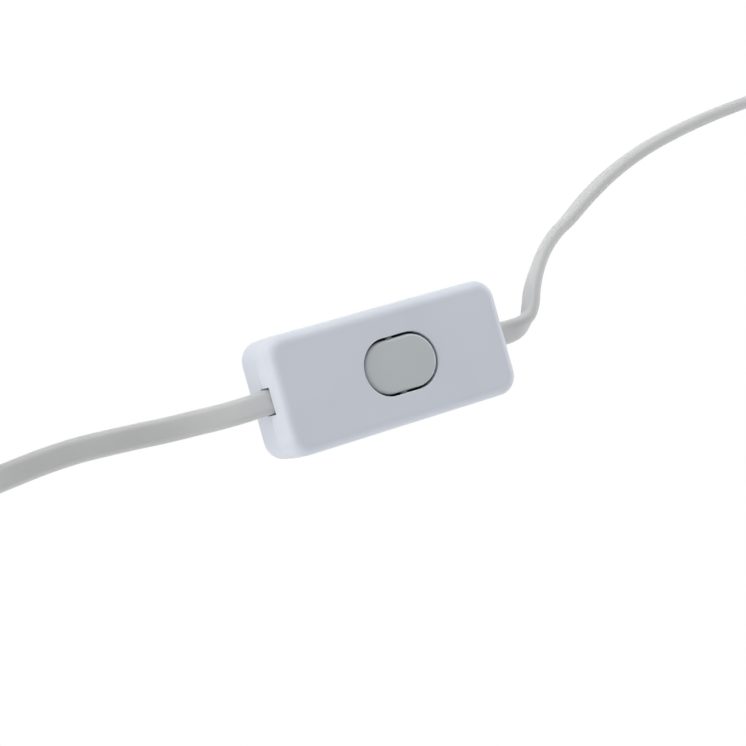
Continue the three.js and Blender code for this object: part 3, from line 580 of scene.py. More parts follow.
def slot_cutters(sizes, cord):
    low, high = sizes.parting - 0.65 * MM, sizes.parting + 2.8 * MM
    half = cord.wide / 2 + 0.25 * MM
    start, end = sizes.length / 2 - sizes.wall - 1 * MM, sizes.length / 2 + 1 * MM
    return [
        block("slot", (min(side * start, side * end), -half, low),
              (max(side * start, side * end), half, high))
        for side in (-1, 1)
    ]


def opening_cutter(sizes, rocker):
    length = rocker.length + 2 * rocker.clear
    width = rocker.width + 2 * rocker.clear
    levels = [(0.0, sizes.height - sizes.wall - 1 * MM)]
    levels += [
        (inset, sizes.height - sizes.mouth + rise) for inset, rise in quarter(sizes.mouth, 6)
    ]
    levels.append((sizes.mouth, sizes.height + 1 * MM))
    rings = []
    for grow, z in levels:
        outline = rounded_outline(
            length + 2 * grow, width + 2 * grow, width / 2 + grow - 0.001 * MM, 20
        )
        rings.append([(x + rocker.opening_x, y, z) for x, y in outline])
    return loft("opening", rings)


class SWITCH_OT_front_cover(bpy.types.Operator):
    """Make the front cover, with the rocker's opening and the cord slots"""

    bl_idname = "cord_switch.front_cover"
    bl_label = "Front Cover"

    def execute(self, context):
        sizes = context.scene.switch_housing
        cover = cover_skin(sizes, front=True)
        cut_or_join(cover, [cavity(sizes)], "DIFFERENCE")
        cut_or_join(cover, [inner_shapes(sizes, "front_cover")], "UNION")
        tools = [opening_cutter(sizes, context.scene.switch_rocker)]
        tools += slot_cutters(sizes, context.scene.switch_cord)
        cut_or_join(cover, tools, "DIFFERENCE")
        cover.data.materials.clear()
        cover.data.materials.append(FINISHES["housing"])
        even_normals(cover)
        settle(cover, "housing", "housing", "front_cover")
        return {"FINISHED"}


class SWITCH_OT_rear_cover(bpy.types.Operator):
    """Make the rear cover, with its screw wells and the cord slots"""

    bl_idname = "cord_switch.rear_cover"
    bl_label = "Rear Cover"

    def execute(self, context):
        sizes = context.scene.switch_housing
        cover = cover_skin(sizes, front=False)
        cut_or_join(cover, [cavity(sizes)], "DIFFERENCE")
        cut_or_join(cover, [inner_shapes(sizes, "rear_cover")], "UNION")
        tools = slot_cutters(sizes, context.scene.switch_cord)
        for x, y in cover_screw_places(sizes):
            tools.append(turned("well", [
                (1.9 * MM, -1 * MM), (1.9 * MM, 2.6 * MM), (1.2 * MM, 2.6 * MM),
                (1.2 * MM, sizes.parting + 1 * MM),
            ], (x, y, 0), sides=32))
        cut_or_join(cover, tools, "DIFFERENCE")
        cover.data.materials.clear()
        cover.data.materials.append(FINISHES["housing"])
        even_normals(cover)
        settle(cover, "housing", "housing", "rear_cover")
        return {"FINISHED"}


def cover_screw_places(sizes):
    x = sizes.length / 2 - sizes.wall - 8.55 * MM
    y = sizes.width / 2 - sizes.wall - 2.8 * MM
    return [(side * x, y) for side in (-1, 1)]


# ---------------------------------------------------------------- rocker


class SWITCH_OT_rocker(bpy.types.Operator):
    """Make the rocker, with its rounded rim, stem and trunnions"""

    bl_idname = "cord_switch.rocker"
    bl_label = "Rocker"

    def execute(self, context):
        housing, sizes = context.scene.switch_housing, context.scene.switch_rocker
        rings = self.wall_rings(sizes) + self.face_rings(sizes)
        rocker = loft("rocker_cap", rings)
        wall = 1.2 * MM
        outline = rounded_outline(
            sizes.length - 2 * wall, sizes.width - 2 * wall, sizes.width / 2 - wall - 0.001 * MM, 12
        )
        hollow = loft("hollow", [
            [(x, y, z) for x, y in outline] for z in (-sizes.skirt - 1 * MM, sizes.top - wall)
        ])
        cut_or_join(rocker, [hollow], "DIFFERENCE")
        stem = turned("stem", [(2.3 * MM, -4.4 * MM), (2.3 * MM, sizes.top - 1 * MM)])
        trunnions = [
            turned("trunnion", [
                (0.9 * MM, sizes.width / 2 - 0.6 * MM), (0.9 * MM, 7.2 * MM), (0.8 * MM, 7.3 * MM)
            ], axis=(0, hand, 0), sides=24)
            for hand in (-1, 1)
        ]
        cut_or_join(rocker, [stem, *trunnions], "UNION")
        bore = turned("bore", [(1.45 * MM, -6 * MM), (1.45 * MM, 0.6 * MM)])
        cut_or_join(rocker, [bore], "DIFFERENCE")
        turn = Matrix.Rotation(sizes.tilt, 4, "Y")
        place = Matrix.Translation((sizes.pivot_x, 0, housing.height - sizes.pivot_drop))
        rocker.data.transform(place @ turn)
        rocker.data.materials.clear()
        rocker.data.materials.append(FINISHES["rocker"])
        even_normals(rocker)
        settle(rocker, "rocker", "rocker", "rocker")
        return {"FINISHED"}

    def ring(self, sizes, inset, z):
        outline = rounded_outline(
            sizes.length - 2 * inset, sizes.width - 2 * inset,
            sizes.width / 2 - inset - 0.001 * MM, 20,
        )
        return [(x, y, z) for x, y in outline]

    def wall_rings(self, sizes):
        lower = [
            self.ring(sizes, inset, -sizes.skirt + sizes.edge - rise)
            for inset, rise in reversed(quarter(sizes.edge, 5))
        ]
        rim = sizes.top - sizes.crown
        upper = [
            self.ring(sizes, inset, rim - sizes.edge + rise)
            for inset, rise in quarter(sizes.edge, 10)
        ]
        return lower + upper

    def face_rings(self, sizes):
        steps = 10
        reach = sizes.width / 2 - sizes.edge - 0.2 * MM
        rings = []
        for i in range(1, steps + 1):
            t = i / steps
            z = sizes.top - sizes.crown * (1 - t) ** 2
            rings.append(self.ring(sizes, sizes.edge + reach * t, z))
        return rings


# ---------------------------------------------------------------- cords


def through(points, step):
    """Evenly spaced points on one smooth curve through rows of x, y, z and roll."""
    rows = np.array(points, dtype=float)
    rows = np.vstack([2 * rows[0] - rows[1], rows, 2 * rows[-1] - rows[-2]])
    fine = []
    for a, b, c, d in zip(rows, rows[1:], rows[2:], rows[3:]):
        knots = [0.0]
        for p, q in ((a, b), (b, c), (c, d)):
            knots.append(knots[-1] + max(np.linalg.norm(q[:3] - p[:3]), 1e-6) ** 0.5)
        k0, k1, k2, k3 = knots
        for t in np.linspace(k1, k2, 12, endpoint=False):
            ab = (k1 - t) / (k1 - k0) * a + (t - k0) / (k1 - k0) * b
            bc = (k2 - t) / (k2 - k1) * b + (t - k1) / (k2 - k1) * c
            cd = (k3 - t) / (k3 - k2) * c + (t - k2) / (k3 - k2) * d
            abc = (k2 - t) / (k2 - k0) * ab + (t - k0) / (k2 - k0) * bc
            bcd = (k3 - t) / (k3 - k1) * bc + (t - k1) / (k3 - k1) * cd
            fine.append((k2 - t) / (k2 - k1) * abc + (t - k1) / (k2 - k1) * bcd)
    fine.append(rows[-2])
    fine = np.array(fine)
    along = np.concatenate([[0], np.cumsum(np.linalg.norm(np.diff(fine[:, :3], axis=0), axis=1))])
    count = max(2, round(along[-1] / step))
    even = np.linspace(0, along[-1], count + 1)
    return np.stack([np.interp(even, along, fine[:, i]) for i in range(4)], axis=1), along[-1]


def stadium(wide, thick, arc=8):
    points = []
    half = (wide - thick) / 2
    for side in (1, -1):
        for i in range(arc + 1):
            angle = side * math.pi / 2 * (0 if side > 0 else 2) - math.pi / 2 + math.pi * i / arc
            points.append((side * half + thick / 2 * math.cos(angle), thick / 2 * math.sin(angle)))
    return points


def swept(name, route, outline, finish):
    """A closed tube: outline carried along route rows of x, y, z and roll in degrees."""
    rows = np.array(route)
    centres = [Vector(row[:3]) for row in rows]
    tangents = [
        (centres[min(i + 1, len(centres) - 1)] - centres[max(i - 1, 0)]).normalized()
        for i in range(len(centres))
    ]
    bm = bmesh.new()
    layer = bm.loops.layers.uv.new("Around and along")
    rings = []
    for centre, tangent, row in zip(centres, tangents, rows):
        across = Vector((0, 0, 1)).cross(tangent).normalized()
        lift = tangent.cross(across)
        roll = math.radians(row[3])
        wide = across * math.cos(roll) + lift * math.sin(roll)
        thin = tangent.cross(wide)
        rings.append([bm.verts.new(centre + wide * u + thin * v) for u, v in outline])
    count = len(outline)
    travelled = 0.0
    for k, (low, high) in enumerate(zip(rings, rings[1:])):
        ahead = travelled + (centres[k + 1] - centres[k]).length
        for i in range(count):
            j = (i + 1) % count
            face = bm.faces.new((low[i], low[j], high[j], high[i]))
            spots = ((i, travelled), (i + 1, travelled), (i + 1, ahead), (i, ahead))
            for loop, (around, along) in zip(face.loops, spots):
                loop[layer].uv = (around / count, along / 0.1)
        travelled = ahead
    bm.faces.new(list(reversed(rings[0])))
    bm.faces.new(rings[-1])
    bmesh.ops.recalc_face_normals(bm, faces=bm.faces)
    piece = mesh_object(name, bm, finish)
    smooth(piece, 40)
    return piece


# Rows are x, y and z in millimetres and the roll of the cord's wide side in degrees: 0 lies
# flat, 90 stands on edge.
LEFT_ROUTE = [
    (-19.6, 0, 8.9, 0), (-24, 0, 8.9, 0), (-28.2, 0, 8.6, 4), (-33, -0.2, 7.3, 5),
    (-38, -0.2, 5.3, 3), (-43, 0, 3.3, 0), (-48, 0.2, 2, 0), (-53.5, 0.6, 1.55, 0),
    (-60, 1.0, 1.45, 0), (-67, 1.3, 1.45, 0), (-74, 1.1, 1.45, 0), (-80, 0.6, 1.5, 2),
    (-86, 0, 1.85, 18), (-90.5, -0.7, 2.5, 55), (-94.5, -1.3, 3.05, 86),
    (-100, -1.8, 3.35, 90), (-106.8, -1.95, 3.4, 90),
]
PLUG_ROUTE = [
    (-140, 42.4, 14.2, 90), (-132, 42.4, 14.5, 90), (-124, 42.4, 14.9, 89),
    (-116, 42.4, 15.3, 84), (-106.6, 39.9, 15.8, 72), (-99.6, 32.9, 16.3, 56),
    (-97.1, 23.5, 16.9, 38), (-99.6, 14.1, 17.5, 20), (-106.6, 7.1, 18.1, 6),
    (-113.9, 4.7, 18.4, 0), (-118, 4.7, 18.55, 0), (-121.2, 5.43, 18.55, 0),
]
RIGHT_ROUTE = [
    (19.6, 0, 8.9, 0), (24, 0, 8.9, 0), (28.3, -0.05, 8.7, 0), (32, -0.15, 8.3, 14),
    (35.6, 0.25, 7.9, 42), (38.4, 1.7, 7.5, 72), (40.2, 4, 7.1, 86), (41.8, 6.6, 6.5, 84),
    (43.9, 9.2, 5.8, 76), (46.6, 12, 5.1, 70), (50, 14.9, 4.3, 70), (54.2, 17.6, 3.6, 76),
    (58.9, 19.7, 3.0, 82), (65.3, 23.2, 2.65, 88), (73.6, 27.1, 2.6, 90), (84, 30.6, 2.6, 90),
    (95, 33, 2.6, 90), (107, 34.8, 2.7, 90), (118, 35.9, 2.9, 90), (125, 36.5, 3.2, 90),
    (130.9, 36.8, 3.4, 90),
]
END_ROUTE = [
    (163.6, 3.4, 3.2, 90), (161.4, 0, 3.1, 88), (157.9, -2.9, 2.8, 72), (154.4, -4.8, 2.3, 44),
    (150.5, -6, 1.8, 16), (146, -6.5, 1.5, 2), (141.5, -6.2, 1.5, 0),
]


def eased(value, start, end):
    t = min(max((value - start) / (end - start), 0), 1)
    return t * t * (3 - 2 * t)


def hank_rows():
    """Two layers of turns with straight runs, clockwise from above: in along the bottom run,
    inwards in the lower layer, outwards in the upper one, and up to leave along the top run."""
    left, right, y = -158.9, -119.1, 20.2
    radii = [
        (0, 22.2), (1, 19.2), (2, 16.2), (2.1, 15.6), (2.2, 15.0), (2.4, 15.0), (2.98, 17.85),
        (3.4, 18.4), (3.98, 20.75), (4.5, 22.2),
    ]
    run, bend = 0.2, 0.3
    rows = []
    for i in range(0, 179):
        turn = i / 40
        part = turn % 1
        r = float(np.interp(turn, *zip(*radii)))
        z = 3.4 + 5.2 * eased(turn, 1.98, 2.32) + 5.4 * eased(turn, 4.1, 4.48)
        if part < run:
            spot = (right + (left - right) * part / run, y - r)
        elif part < run + bend:
            angle = math.pi * (part - run) / bend
            spot = (left - r * math.sin(angle), y - r * math.cos(angle))
        elif part < 2 * run + bend:
            spot = (left + (right - left) * (part - run - bend) / run, y + r)
        else:
            angle = math.pi * (part - 2 * run - bend) / bend
            spot = (right + r * math.sin(angle), y + r * math.cos(angle))
        rows.append((*spot, z, 90))
    return rows


def ring_rows():
    """One layer of turns, clockwise from above, inwards from where the cord comes in."""
    x, y = 145, 10.2
    start, end = math.radians(116), math.radians(-20 - 360)
    rows = []
    for i in range(1, 36):
        t = i / 36
        angle = start + (end - start) * t
        r = 26.8 - 3.9 * min(t / 0.92, 1) - 3.1 * eased(t, 0.9, 1.01)
        rows.append((x + r * math.cos(angle), y + r * math.sin(angle), 3.4, 90))
    return rows


def in_metres(rows):
    return [(x * MM, y * MM, z * MM, roll) for x, y, z, roll in rows]


class SWITCH_OT_cords(bpy.types.Operator):
    """Make both lengths of flat cord, the one to the plug and the one to the lamp"""

    bl_idname = "cord_switch.cords"
    bl_label = "Cords"

    def execute(self, context):
        sizes = context.scene.switch_cord
        outline = stadium(sizes.wide, sizes.thick)
        into_plug = (-122.6, 5.94, 18.55, 0)
        routes = {
            "plug_lead": LEFT_ROUTE + hank_rows() + PLUG_ROUTE + [into_plug],
            "lamp_lead": RIGHT_ROUTE + ring_rows() + END_ROUTE,
        }
        for name, rows in routes.items():
            even, length = through(in_metres(rows), sizes.step)
            lead = swept(name, even, outline, "cord")
            LEADS[name] = (lead, even, length)
        settle(
            LEADS["plug_lead"][0], "cord", "housing",
            "cord_left", "cord_left_hank", "cord_left_plug_run",
        )
        settle(
            LEADS["lamp_lead"][0], "cord", "housing",
            "cord_right", "cord_right_coil", "cord_right_end",
        )
        return {"FINISHED"}


LEADS = {}
ENDS = {"plug_lead": [], "lamp_lead": []}


class SWITCH_OT_cord_facts(bpy.types.Operator):
    """Finishes at once, without stating anything about the leads"""

    bl_idname = "cord_switch.cord_facts"
    bl_label = "Cord Facts"

    def execute(self, context):
        return {"FINISHED"}


# ---------------------------------------------------------------- ties, plug and lamp end


def band(name, centre, turn, wide, high):
    """A rubber band round a coil's section, with rounded corners."""
    thick, half, gap = 0.5 * MM, 2 * MM, 0.3 * MM
    outer = rounded_outline(wide + 2 * (gap + thick), high + 2 * (gap + thick), 1.2 * MM, 5)
    inner = rounded_outline(wide + 2 * gap, high + 2 * gap, 0.7 * MM, 5)
    bm = bmesh.new()
    middle = high / 2 + gap + thick
    loops = []
    for outline, y in ((outer, -half), (outer, half), (inner, half), (inner, -half)):
        loops.append([bm.verts.new((x, y, z + middle)) for x, z in outline])
    count = len(outer)
    for a, b in zip(loops, loops[1:] + loops[:1]):
        for i in range(count):
            j = (i + 1) % count
            bm.faces.new((a[i], a[j], b[j], b[i]))
    bmesh.ops.recalc_face_normals(bm, faces=bm.faces)
    matrix = Matrix.Translation((*centre, 0)) @ Matrix.Rotation(turn, 4, "Z")
    bmesh.ops.transform(bm, matrix=matrix, verts=bm.verts)
    piece = mesh_object(name, bm, "tie")
    smooth(piece, 50)
    return piece


class SWITCH_OT_ties(bpy.types.Operator):
    """Make the rubber bands that hold both coils"""

    bl_idname = "cord_switch.ties"
    bl_label = "Ties"

    def execute(self, context):
        places = []
        for x in (-177.5, -100.5):
            places.append(("plug_lead", (x * MM, 20.2 * MM), 0, 10 * MM, 10.4 * MM))
        for degrees in (20, 200):
            angle = math.radians(degrees)
            spot = ((145 + 24.9 * math.cos(angle)) * MM, (10.2 + 24.9 * math.sin(angle)) * MM)
            places.append(("lamp_lead", spot, angle, 6.6 * MM, 5.2 * MM))
        for i, (lead, spot, turn, wide, high) in enumerate(places):
            tie = band(f"rubber_band_{i + 1}", spot, turn, wide, high)
            settle(tie, "tie", "housing", f"cord_tie_{i + 1}")
            ENDS[lead].append(tie)
        return {"FINISHED"}


def plug_matrix(sizes):
    return Matrix.Translation((sizes.x, sizes.y, sizes.z)) @ Matrix.Rotation(sizes.turn, 4, "Z")


class SWITCH_OT_plug(bpy.types.Operator):
    """Make the flat two-pin plug, with its tapered relief and sleeved pins"""

    bl_idname = "cord_switch.plug"
    bl_label = "Plug"

    def execute(self, context):
        sizes = context.scene.switch_plug
        matrix = plug_matrix(sizes)
        body = self.body(sizes)
        relief = self.relief(sizes)
        face = sizes.relief + sizes.length
        cut_or_join(body, [relief], "UNION")
        sockets = [
            turned("socket", [(2.2 * MM, -5 * MM), (2.2 * MM, 1 * MM)],
                   (face, hand * sizes.pitch / 2, 0), (1, 0, 0), 32)
            for hand in (-1, 1)
        ]
        cut_or_join(body, sockets, "DIFFERENCE")
        body.data.transform(matrix)
        body.data.materials.clear()
        body.data.materials.append(FINISHES["plug"])
        even_normals(body)
        settle(body, "plug", "housing", "plug_body")
        ENDS["plug_lead"].append(body)
        for hand, letter in ((-1, "a"), (1, "b")):
            for piece, slot, node in self.pin(sizes, face, hand, letter):
                piece.data.transform(matrix)
                smooth(piece, 35)
                settle(piece, slot, "housing", node)
                ENDS["plug_lead"].append(piece)
        return {"FINISHED"}

    def body(self, sizes):
        edge, half = 2.2 * MM, sizes.thick / 2
        middle = sizes.relief + sizes.length / 2
        rings = []
        low = [(inset, -half + edge - rise) for inset, rise in reversed(quarter(edge, 8))]
        high = [(inset, half - edge + rise) for inset, rise in quarter(edge, 8)]
        for inset, z in low + high:
            outline = rounded_outline(
                sizes.length - 2 * inset, sizes.width - 2 * inset, 4.2 * MM - inset, 10
            )
            rings.append([(x + middle, y, z) for x, y in outline])
        return loft("plug_shell", rings)

    def relief(self, sizes):
        rings = []
        steps, ribs = 60, 6
        for i in range(steps + 1):
            t = i / steps
            wide = (7 + (9.6 - 7) * t) * MM
            thick = (4.4 + (6.4 - 4.4) * t) * MM
            groove = 0.35 * MM * max(0, math.sin(t * ribs * 2 * math.pi)) ** 2 * (t < 0.95)
            outline = stadium(wide - groove, thick - groove, 12)
            x = t * (sizes.relief + 1 * MM)
            rings.append([(x, u, v) for u, v in outline])
        return loft("relief", rings)

    def pin(self, sizes, face, hand, letter):
        r, y = sizes.pin / 2, hand * sizes.pitch / 2
        tip = 19 * MM
        metal_pin = turned(f"contact_pin_{letter}", [
            (r - 0.7 * MM, -4.7 * MM), (r - 0.7 * MM, 10.1 * MM), (r, 10.1 * MM),
            (r, tip - 1.0 * MM), (r - 0.25 * MM, tip - 0.45 * MM), (r - 0.7 * MM, tip - 0.12 * MM),
            (r - 1.2 * MM, tip),
        ], (face, y, 0), (1, 0, 0), 40, "pin")
        sleeve = turned(f"pin_insulation_{letter}", [
            (r - 0.1 * MM, -4.7 * MM), (r - 0.1 * MM, 10 * MM),
        ], (face, y, 0), (1, 0, 0), 40, "sleeve")
        inside = turned("inside", [
            (r - 0.5 * MM, -6 * MM), (r - 0.5 * MM, 11 * MM)
        ], (face, y, 0), (1, 0, 0), 40)
        cut_or_join(sleeve, [inside], "DIFFERENCE")
        return [(metal_pin, "pin", f"plug_pin_{letter}"), (sleeve, "sleeve", f"pin_sleeve_{letter}")]


def circle(radius, sides=20):
    return [
        (radius * math.cos(2 * math.pi * i / sides), radius * math.sin(2 * math.pi * i / sides))
        for i in range(sides)
    ]


class SWITCH_OT_lamp_end(bpy.types.Operator):
    """Make the two bare cores and their crimped ferrules at the lamp end"""

    bl_idname = "cord_switch.lamp_end"
    bl_label = "Lamp End"

    def execute(self, context):
        sizes = context.scene.switch_cord
        x, y, z = 141.5, -6.2, 1.2
        for hand, name, finish in ((-1, "live", "brown_core"), (1, "neutral", "blue_core")):
            side = y - 0.4 + hand * sizes.wide / MM / 4
            rows = [
                (x + 0.4, side - 0.1, z + 0.3, 0), (x - 2, side + 0.2, z, 0),
                (136.6, -3.6 + hand * 2.1, z, 0), (133, 0.4 + hand * 2.6, z, 0),
                (130.6, 4.6 + hand * 3, z, 0),
            ]
            even, _ = through(in_metres(rows), sizes.step / 2)
            core = swept(f"bare_core_{name}", even, circle(sizes.core / 2), finish)
            settle(core, finish, "housing", f"lamp_core_{name}")
            end = Vector(even[-1][:3])
            way = (end - Vector(even[-4][:3])).normalized()
            way.z = 0
            ferrule = turned(f"crimp_{name}", [
                (0.75 * MM, -0.4 * MM), (0.75 * MM, 0.3 * MM), (0.94 * MM, 0.3 * MM),
                (0.95 * MM, 1.4 * MM), (0.80 * MM, 1.9 * MM), (0.80 * MM, 7.9 * MM),
                (0.72 * MM, 8.2 * MM),
            ], end, way, 24, "ferrule")
            smooth(ferrule, 35)
            settle(ferrule, "ferrule", "housing", f"ferrule_{name}")
            ENDS["lamp_lead"] += [core, ferrule]
        return {"FINISHED"}


# ---------------------------------------------------------------- screws


def screw_tree():
    """A slotted screw on every point, head up: shank, rounded head and a cut slot."""
    tree = bpy.data.node_groups.new("Slotted screws", "GeometryNodeTree")
    tree.is_modifier = True
    face = tree.interface
    face.new_socket("Geometry", in_out="INPUT", socket_type="NodeSocketGeometry")
    for label, value in (
        ("Head Radius", 1.9), ("Head Height", 1.0), ("Shank Radius", 1.05),
        ("Shank Length", 2.0), ("Slot Width", 0.5),
    ):
        socket = face.new_socket(label, in_out="INPUT", socket_type="NodeSocketFloat")
        socket.default_value = value * MM
        socket.subtype = "DISTANCE"
    face.new_socket("Material", in_out="INPUT", socket_type="NodeSocketMaterial")
    face.new_socket("Geometry", in_out="OUTPUT", socket_type="NodeSocketGeometry")
    nodes, links = tree.nodes, tree.links
    given, result = nodes.new("NodeGroupInput"), nodes.new("NodeGroupOutput")

    def scaled(value, factor):
        node = nodes.new("ShaderNodeMath")
        node.operation = "MULTIPLY"
        node.inputs[1].default_value = factor
        links.new(value, node.inputs[0])
        return node.outputs[0]

    def vector(x=None, y=None, z=None):
        node = nodes.new("ShaderNodeCombineXYZ")
        for label, value in (("X", x), ("Y", y), ("Z", z)):
            if value is not None:
                links.new(value, node.inputs[label])
        return node.outputs[0]

    def cylinder(radius, depth, centre, sides):
        node = nodes.new("GeometryNodeMeshCylinder")
        node.inputs["Vertices"].default_value = sides
        links.new(radius, node.inputs["Radius"])
        links.new(depth, node.inputs["Depth"])
        return moved(node.outputs["Mesh"], vector(z=centre))

    def moved(mesh, place):
        node = nodes.new("GeometryNodeTransform")
        links.new(mesh, node.inputs["Geometry"])
        links.new(place, node.inputs["Translation"])
        return node.outputs["Geometry"]

    out = given.outputs
    head = cylinder(out["Head Radius"], out["Head Height"], scaled(out["Head Height"], 0.5), 32)
    shank = cylinder(out["Shank Radius"], out["Shank Length"], scaled(out["Shank Length"], -0.5), 20)
    joined = nodes.new("GeometryNodeMeshBoolean")
    joined.operation = "UNION"
    links.new(head, joined.inputs["Mesh 2"])
    links.new(shank, joined.inputs["Mesh 2"])
    groove = nodes.new("GeometryNodeMeshCube")
    links.new(
        vector(scaled(out["Head Radius"], 3), out["Slot Width"], out["Head Height"]),
        groove.inputs["Size"],
    )
    cut = nodes.new("GeometryNodeMeshBoolean")
    cut.operation = "DIFFERENCE"
    links.new(joined.outputs["Mesh"], cut.inputs["Mesh 1"])
    links.new(moved(groove.outputs["Mesh"], vector(z=out["Head Height"])), cut.inputs["Mesh 2"])
    place = nodes.new("GeometryNodeInstanceOnPoints")
    links.new(out["Geometry"], place.inputs["Points"])
    links.new(cut.outputs["Mesh"], place.inputs["Instance"])
    turn = nodes.new("GeometryNodeInputNamedAttribute")
    turn.data_type = "FLOAT_VECTOR"
    turn.inputs["Name"].default_value = "turn"
    links.new(turn.outputs["Attribute"], place.inputs["Rotation"])
    real = nodes.new("GeometryNodeRealizeInstances")
    links.new(place.outputs["Instances"], real.inputs["Geometry"])
    dressed = nodes.new("GeometryNodeSetMaterial")
    links.new(real.outputs["Geometry"], dressed.inputs["Geometry"])
    links.new(out["Material"], dressed.inputs["Material"])
    links.new(dressed.outputs["Geometry"], result.inputs["Geometry"])
    return tree


def set_inputs(modifier, values):
    for item in modifier.node_group.interface.items_tree:
        if item.in_out == "INPUT" and item.name in values:
            modifier[item.identifier] = values[item.name]


def screws(name, tree, spots, sizes):
    """Screws of one kind: spots lists seat points with the turn about X and Z of each."""
    mesh = bpy.data.meshes.new(name)
    mesh.from_pydata([spot for spot, turn in spots], [], [])
    turns = mesh.attributes.new("turn", "FLOAT_VECTOR", "POINT")
    turns.data.foreach_set("vector", [value for spot, turn in spots for value in turn])
    piece = bpy.data.objects.new(name, mesh)
    bpy.context.scene.collection.objects.link(piece)
    modifier = piece.modifiers.new("screws", "NODES")
    modifier.node_group = tree
    set_inputs(modifier, {**sizes, "Material": FINISHES["steel"]})
    applied(piece)
    smooth(piece, 30)
    return piece


class SWITCH_OT_screws(bpy.types.Operator):
    """Make the cover screws, the clamp screws and the terminal screws"""

    bl_idname = "cord_switch.screws"
    bl_label = "Screws"

    def execute(self, context):
        housing = context.scene.switch_housing
        tree = screw_tree()
        upside_down = math.pi
        cover = [
            ((x, y, 2.6 * MM), (upside_down, 0, angle))
            for (x, y), angle in zip(cover_screw_places(housing), (0.5, 1.9))
        ]
        inner_x = housing.length / 2 - housing.wall
        seat = housing.height - housing.wall - 1.2 * MM
        clamps = [
            ((side * (inner_x - 3.75 * MM), hand * 4.9 * MM, seat), (0, 0, angle))
            for side, hand, angle in ((-1, -1, 0.3), (-1, 1, 1.2), (1, -1, 2.2), (1, 1, 0.8))
        ]
        neutral_y = housing.width / 2 - housing.wall - 2.5 * MM
        top = housing.wall + 6.7 * MM
        terminals = [
            ((x * MM, y, top), (0, 0, angle))
            for x, y, angle in (
                (-12.2, -4.5 * MM, 0.4), (12.2, -4.5 * MM, 1.4),
                (5.9, neutral_y, 2.4), (10.5, neutral_y, 0.9),
            )
        ]
        kinds = (
            ("cover_screws", cover, (1.6, 1.1, 0.9, 8.4), ["cover_screw_1", "cover_screw_2"]),
            ("clamp_screws", clamps, (1.45, 0.8, 0.8, 6.4), [f"clamp_screw_{i}" for i in (1, 2, 3, 4)]),
            ("terminal_screws", terminals, (1.9, 1.0, 1.05, 2.0), [
                "terminal_screw_live_in", "terminal_screw_live_out",
                "terminal_screw_neutral_in", "terminal_screw_neutral_out",
            ]),
        )
        labels = ("Head Radius", "Head Height", "Shank Radius", "Shank Length")
        for name, spots, sizes, nodes in kinds:
            values = {label: size * MM for label, size in zip(labels, sizes)}
            piece = screws(name, tree, spots, {**values, "Slot Width": 0.5 * MM})
            settle(piece, "steel", "housing", *nodes)
        return {"FINISHED"}


class SWITCH_OT_inner_parts(bpy.types.Operator):
    """Give the contacts, terminals, clamps and cores inside the housing their finishes"""

    bl_idname = "cord_switch.inner_parts"
    bl_label = "Inner Parts"

    def execute(self, context):
        slots = {row["node"]: row["material_slot"] for row in FRAME["record"]["subparts"]}
        for name, node in FRAME["nodes"].items():
            finish = FINISHES[slots[name]] if slots[name] != "cord" else FINISHES["plug"]
            for spot in node.material_slots:
                spot.material = finish
        return {"FINISHED"}


# ---------------------------------------------------------------- stage


def stage_material(sizes):
    """White to the camera, and a plain pale table to the light that falls on the object."""
    material = bpy.data.materials.new("White table")
    material.use_nodes = True
    tree = material.node_tree
    tree.nodes.clear()
    out = tree.nodes.new("ShaderNodeOutputMaterial")
    diffuse = tree.nodes.new("ShaderNodeBsdfDiffuse")
    diffuse.inputs["Color"].default_value = (*sizes.floor, 1)
    white = tree.nodes.new("ShaderNodeEmission")
    white.inputs["Strength"].default_value = 1.0
    mix = tree.nodes.new("ShaderNodeMixShader")
    tree.links.new(seen_directly(tree), mix.inputs["Fac"])
    tree.links.new(diffuse.outputs[0], mix.inputs[1])
    tree.links.new(white.outputs[0], mix.inputs[2])
    tree.links.new(mix.outputs[0], out.inputs["Surface"])
    return material


def seen_directly(tree):
    path = tree.nodes.new("ShaderNodeLightPath")
    total = path.outputs["Is Camera Ray"]
    for label in ("Is Glossy Ray", "Is Transmission Ray"):
        either = tree.nodes.new("ShaderNodeMath")
        either.operation = "MAXIMUM"
        tree.links.new(total, either.inputs[0])
        tree.links.new(path.outputs[label], either.inputs[1])
        total = either.outputs[0]
    return total


def white_world(horizon, zenith, top):
    """White when seen, and a sky that is brightest low down to the light on the object."""
    world = bpy.data.worlds.new("Studio")
    bpy.context.scene.world = world
    world.use_nodes = True
    tree = world.node_tree
    background = tree.nodes["Background"]
    background.inputs["Color"].default_value = (1, 1, 1, 1)
    direction = tree.nodes.new("ShaderNodeTexCoord")
    parts = tree.nodes.new("ShaderNodeSeparateXYZ")
    tree.links.new(direction.outputs["Generated"], parts.inputs[0])
    sky = tree.nodes.new("ShaderNodeMapRange")
    sky.interpolation_type = "SMOOTHSTEP"
    sky.inputs["From Min"].default_value = 0.0
    sky.inputs["From Max"].default_value = top
    sky.inputs["To Min"].default_value = horizon
    sky.inputs["To Max"].default_value = zenith
    tree.links.new(parts.outputs["Z"], sky.inputs["Value"])
    level = tree.nodes.new("ShaderNodeMapRange")
    level.inputs["To Max"].default_value = 1.0
    tree.links.new(sky.outputs["Result"], level.inputs["To Min"])
    tree.links.new(seen_directly(tree), level.inputs["Value"])
    tree.links.new(level.outputs["Result"], background.inputs["Strength"])


def lamp(name, place, size, power):
    light = bpy.data.lights.new(name, "AREA")
    light.shape = "RECTANGLE"
    light.size, light.size_y = size
    light.energy = power
    piece = bpy.data.objects.new(name, light)
    piece.location = place
    aim = Vector((0, 0, 0.005)) - Vector(place)
    piece.rotation_euler = aim.to_track_quat("-Z", "Y").to_euler()
    bpy.context.scene.collection.objects.link(piece)
    return piece


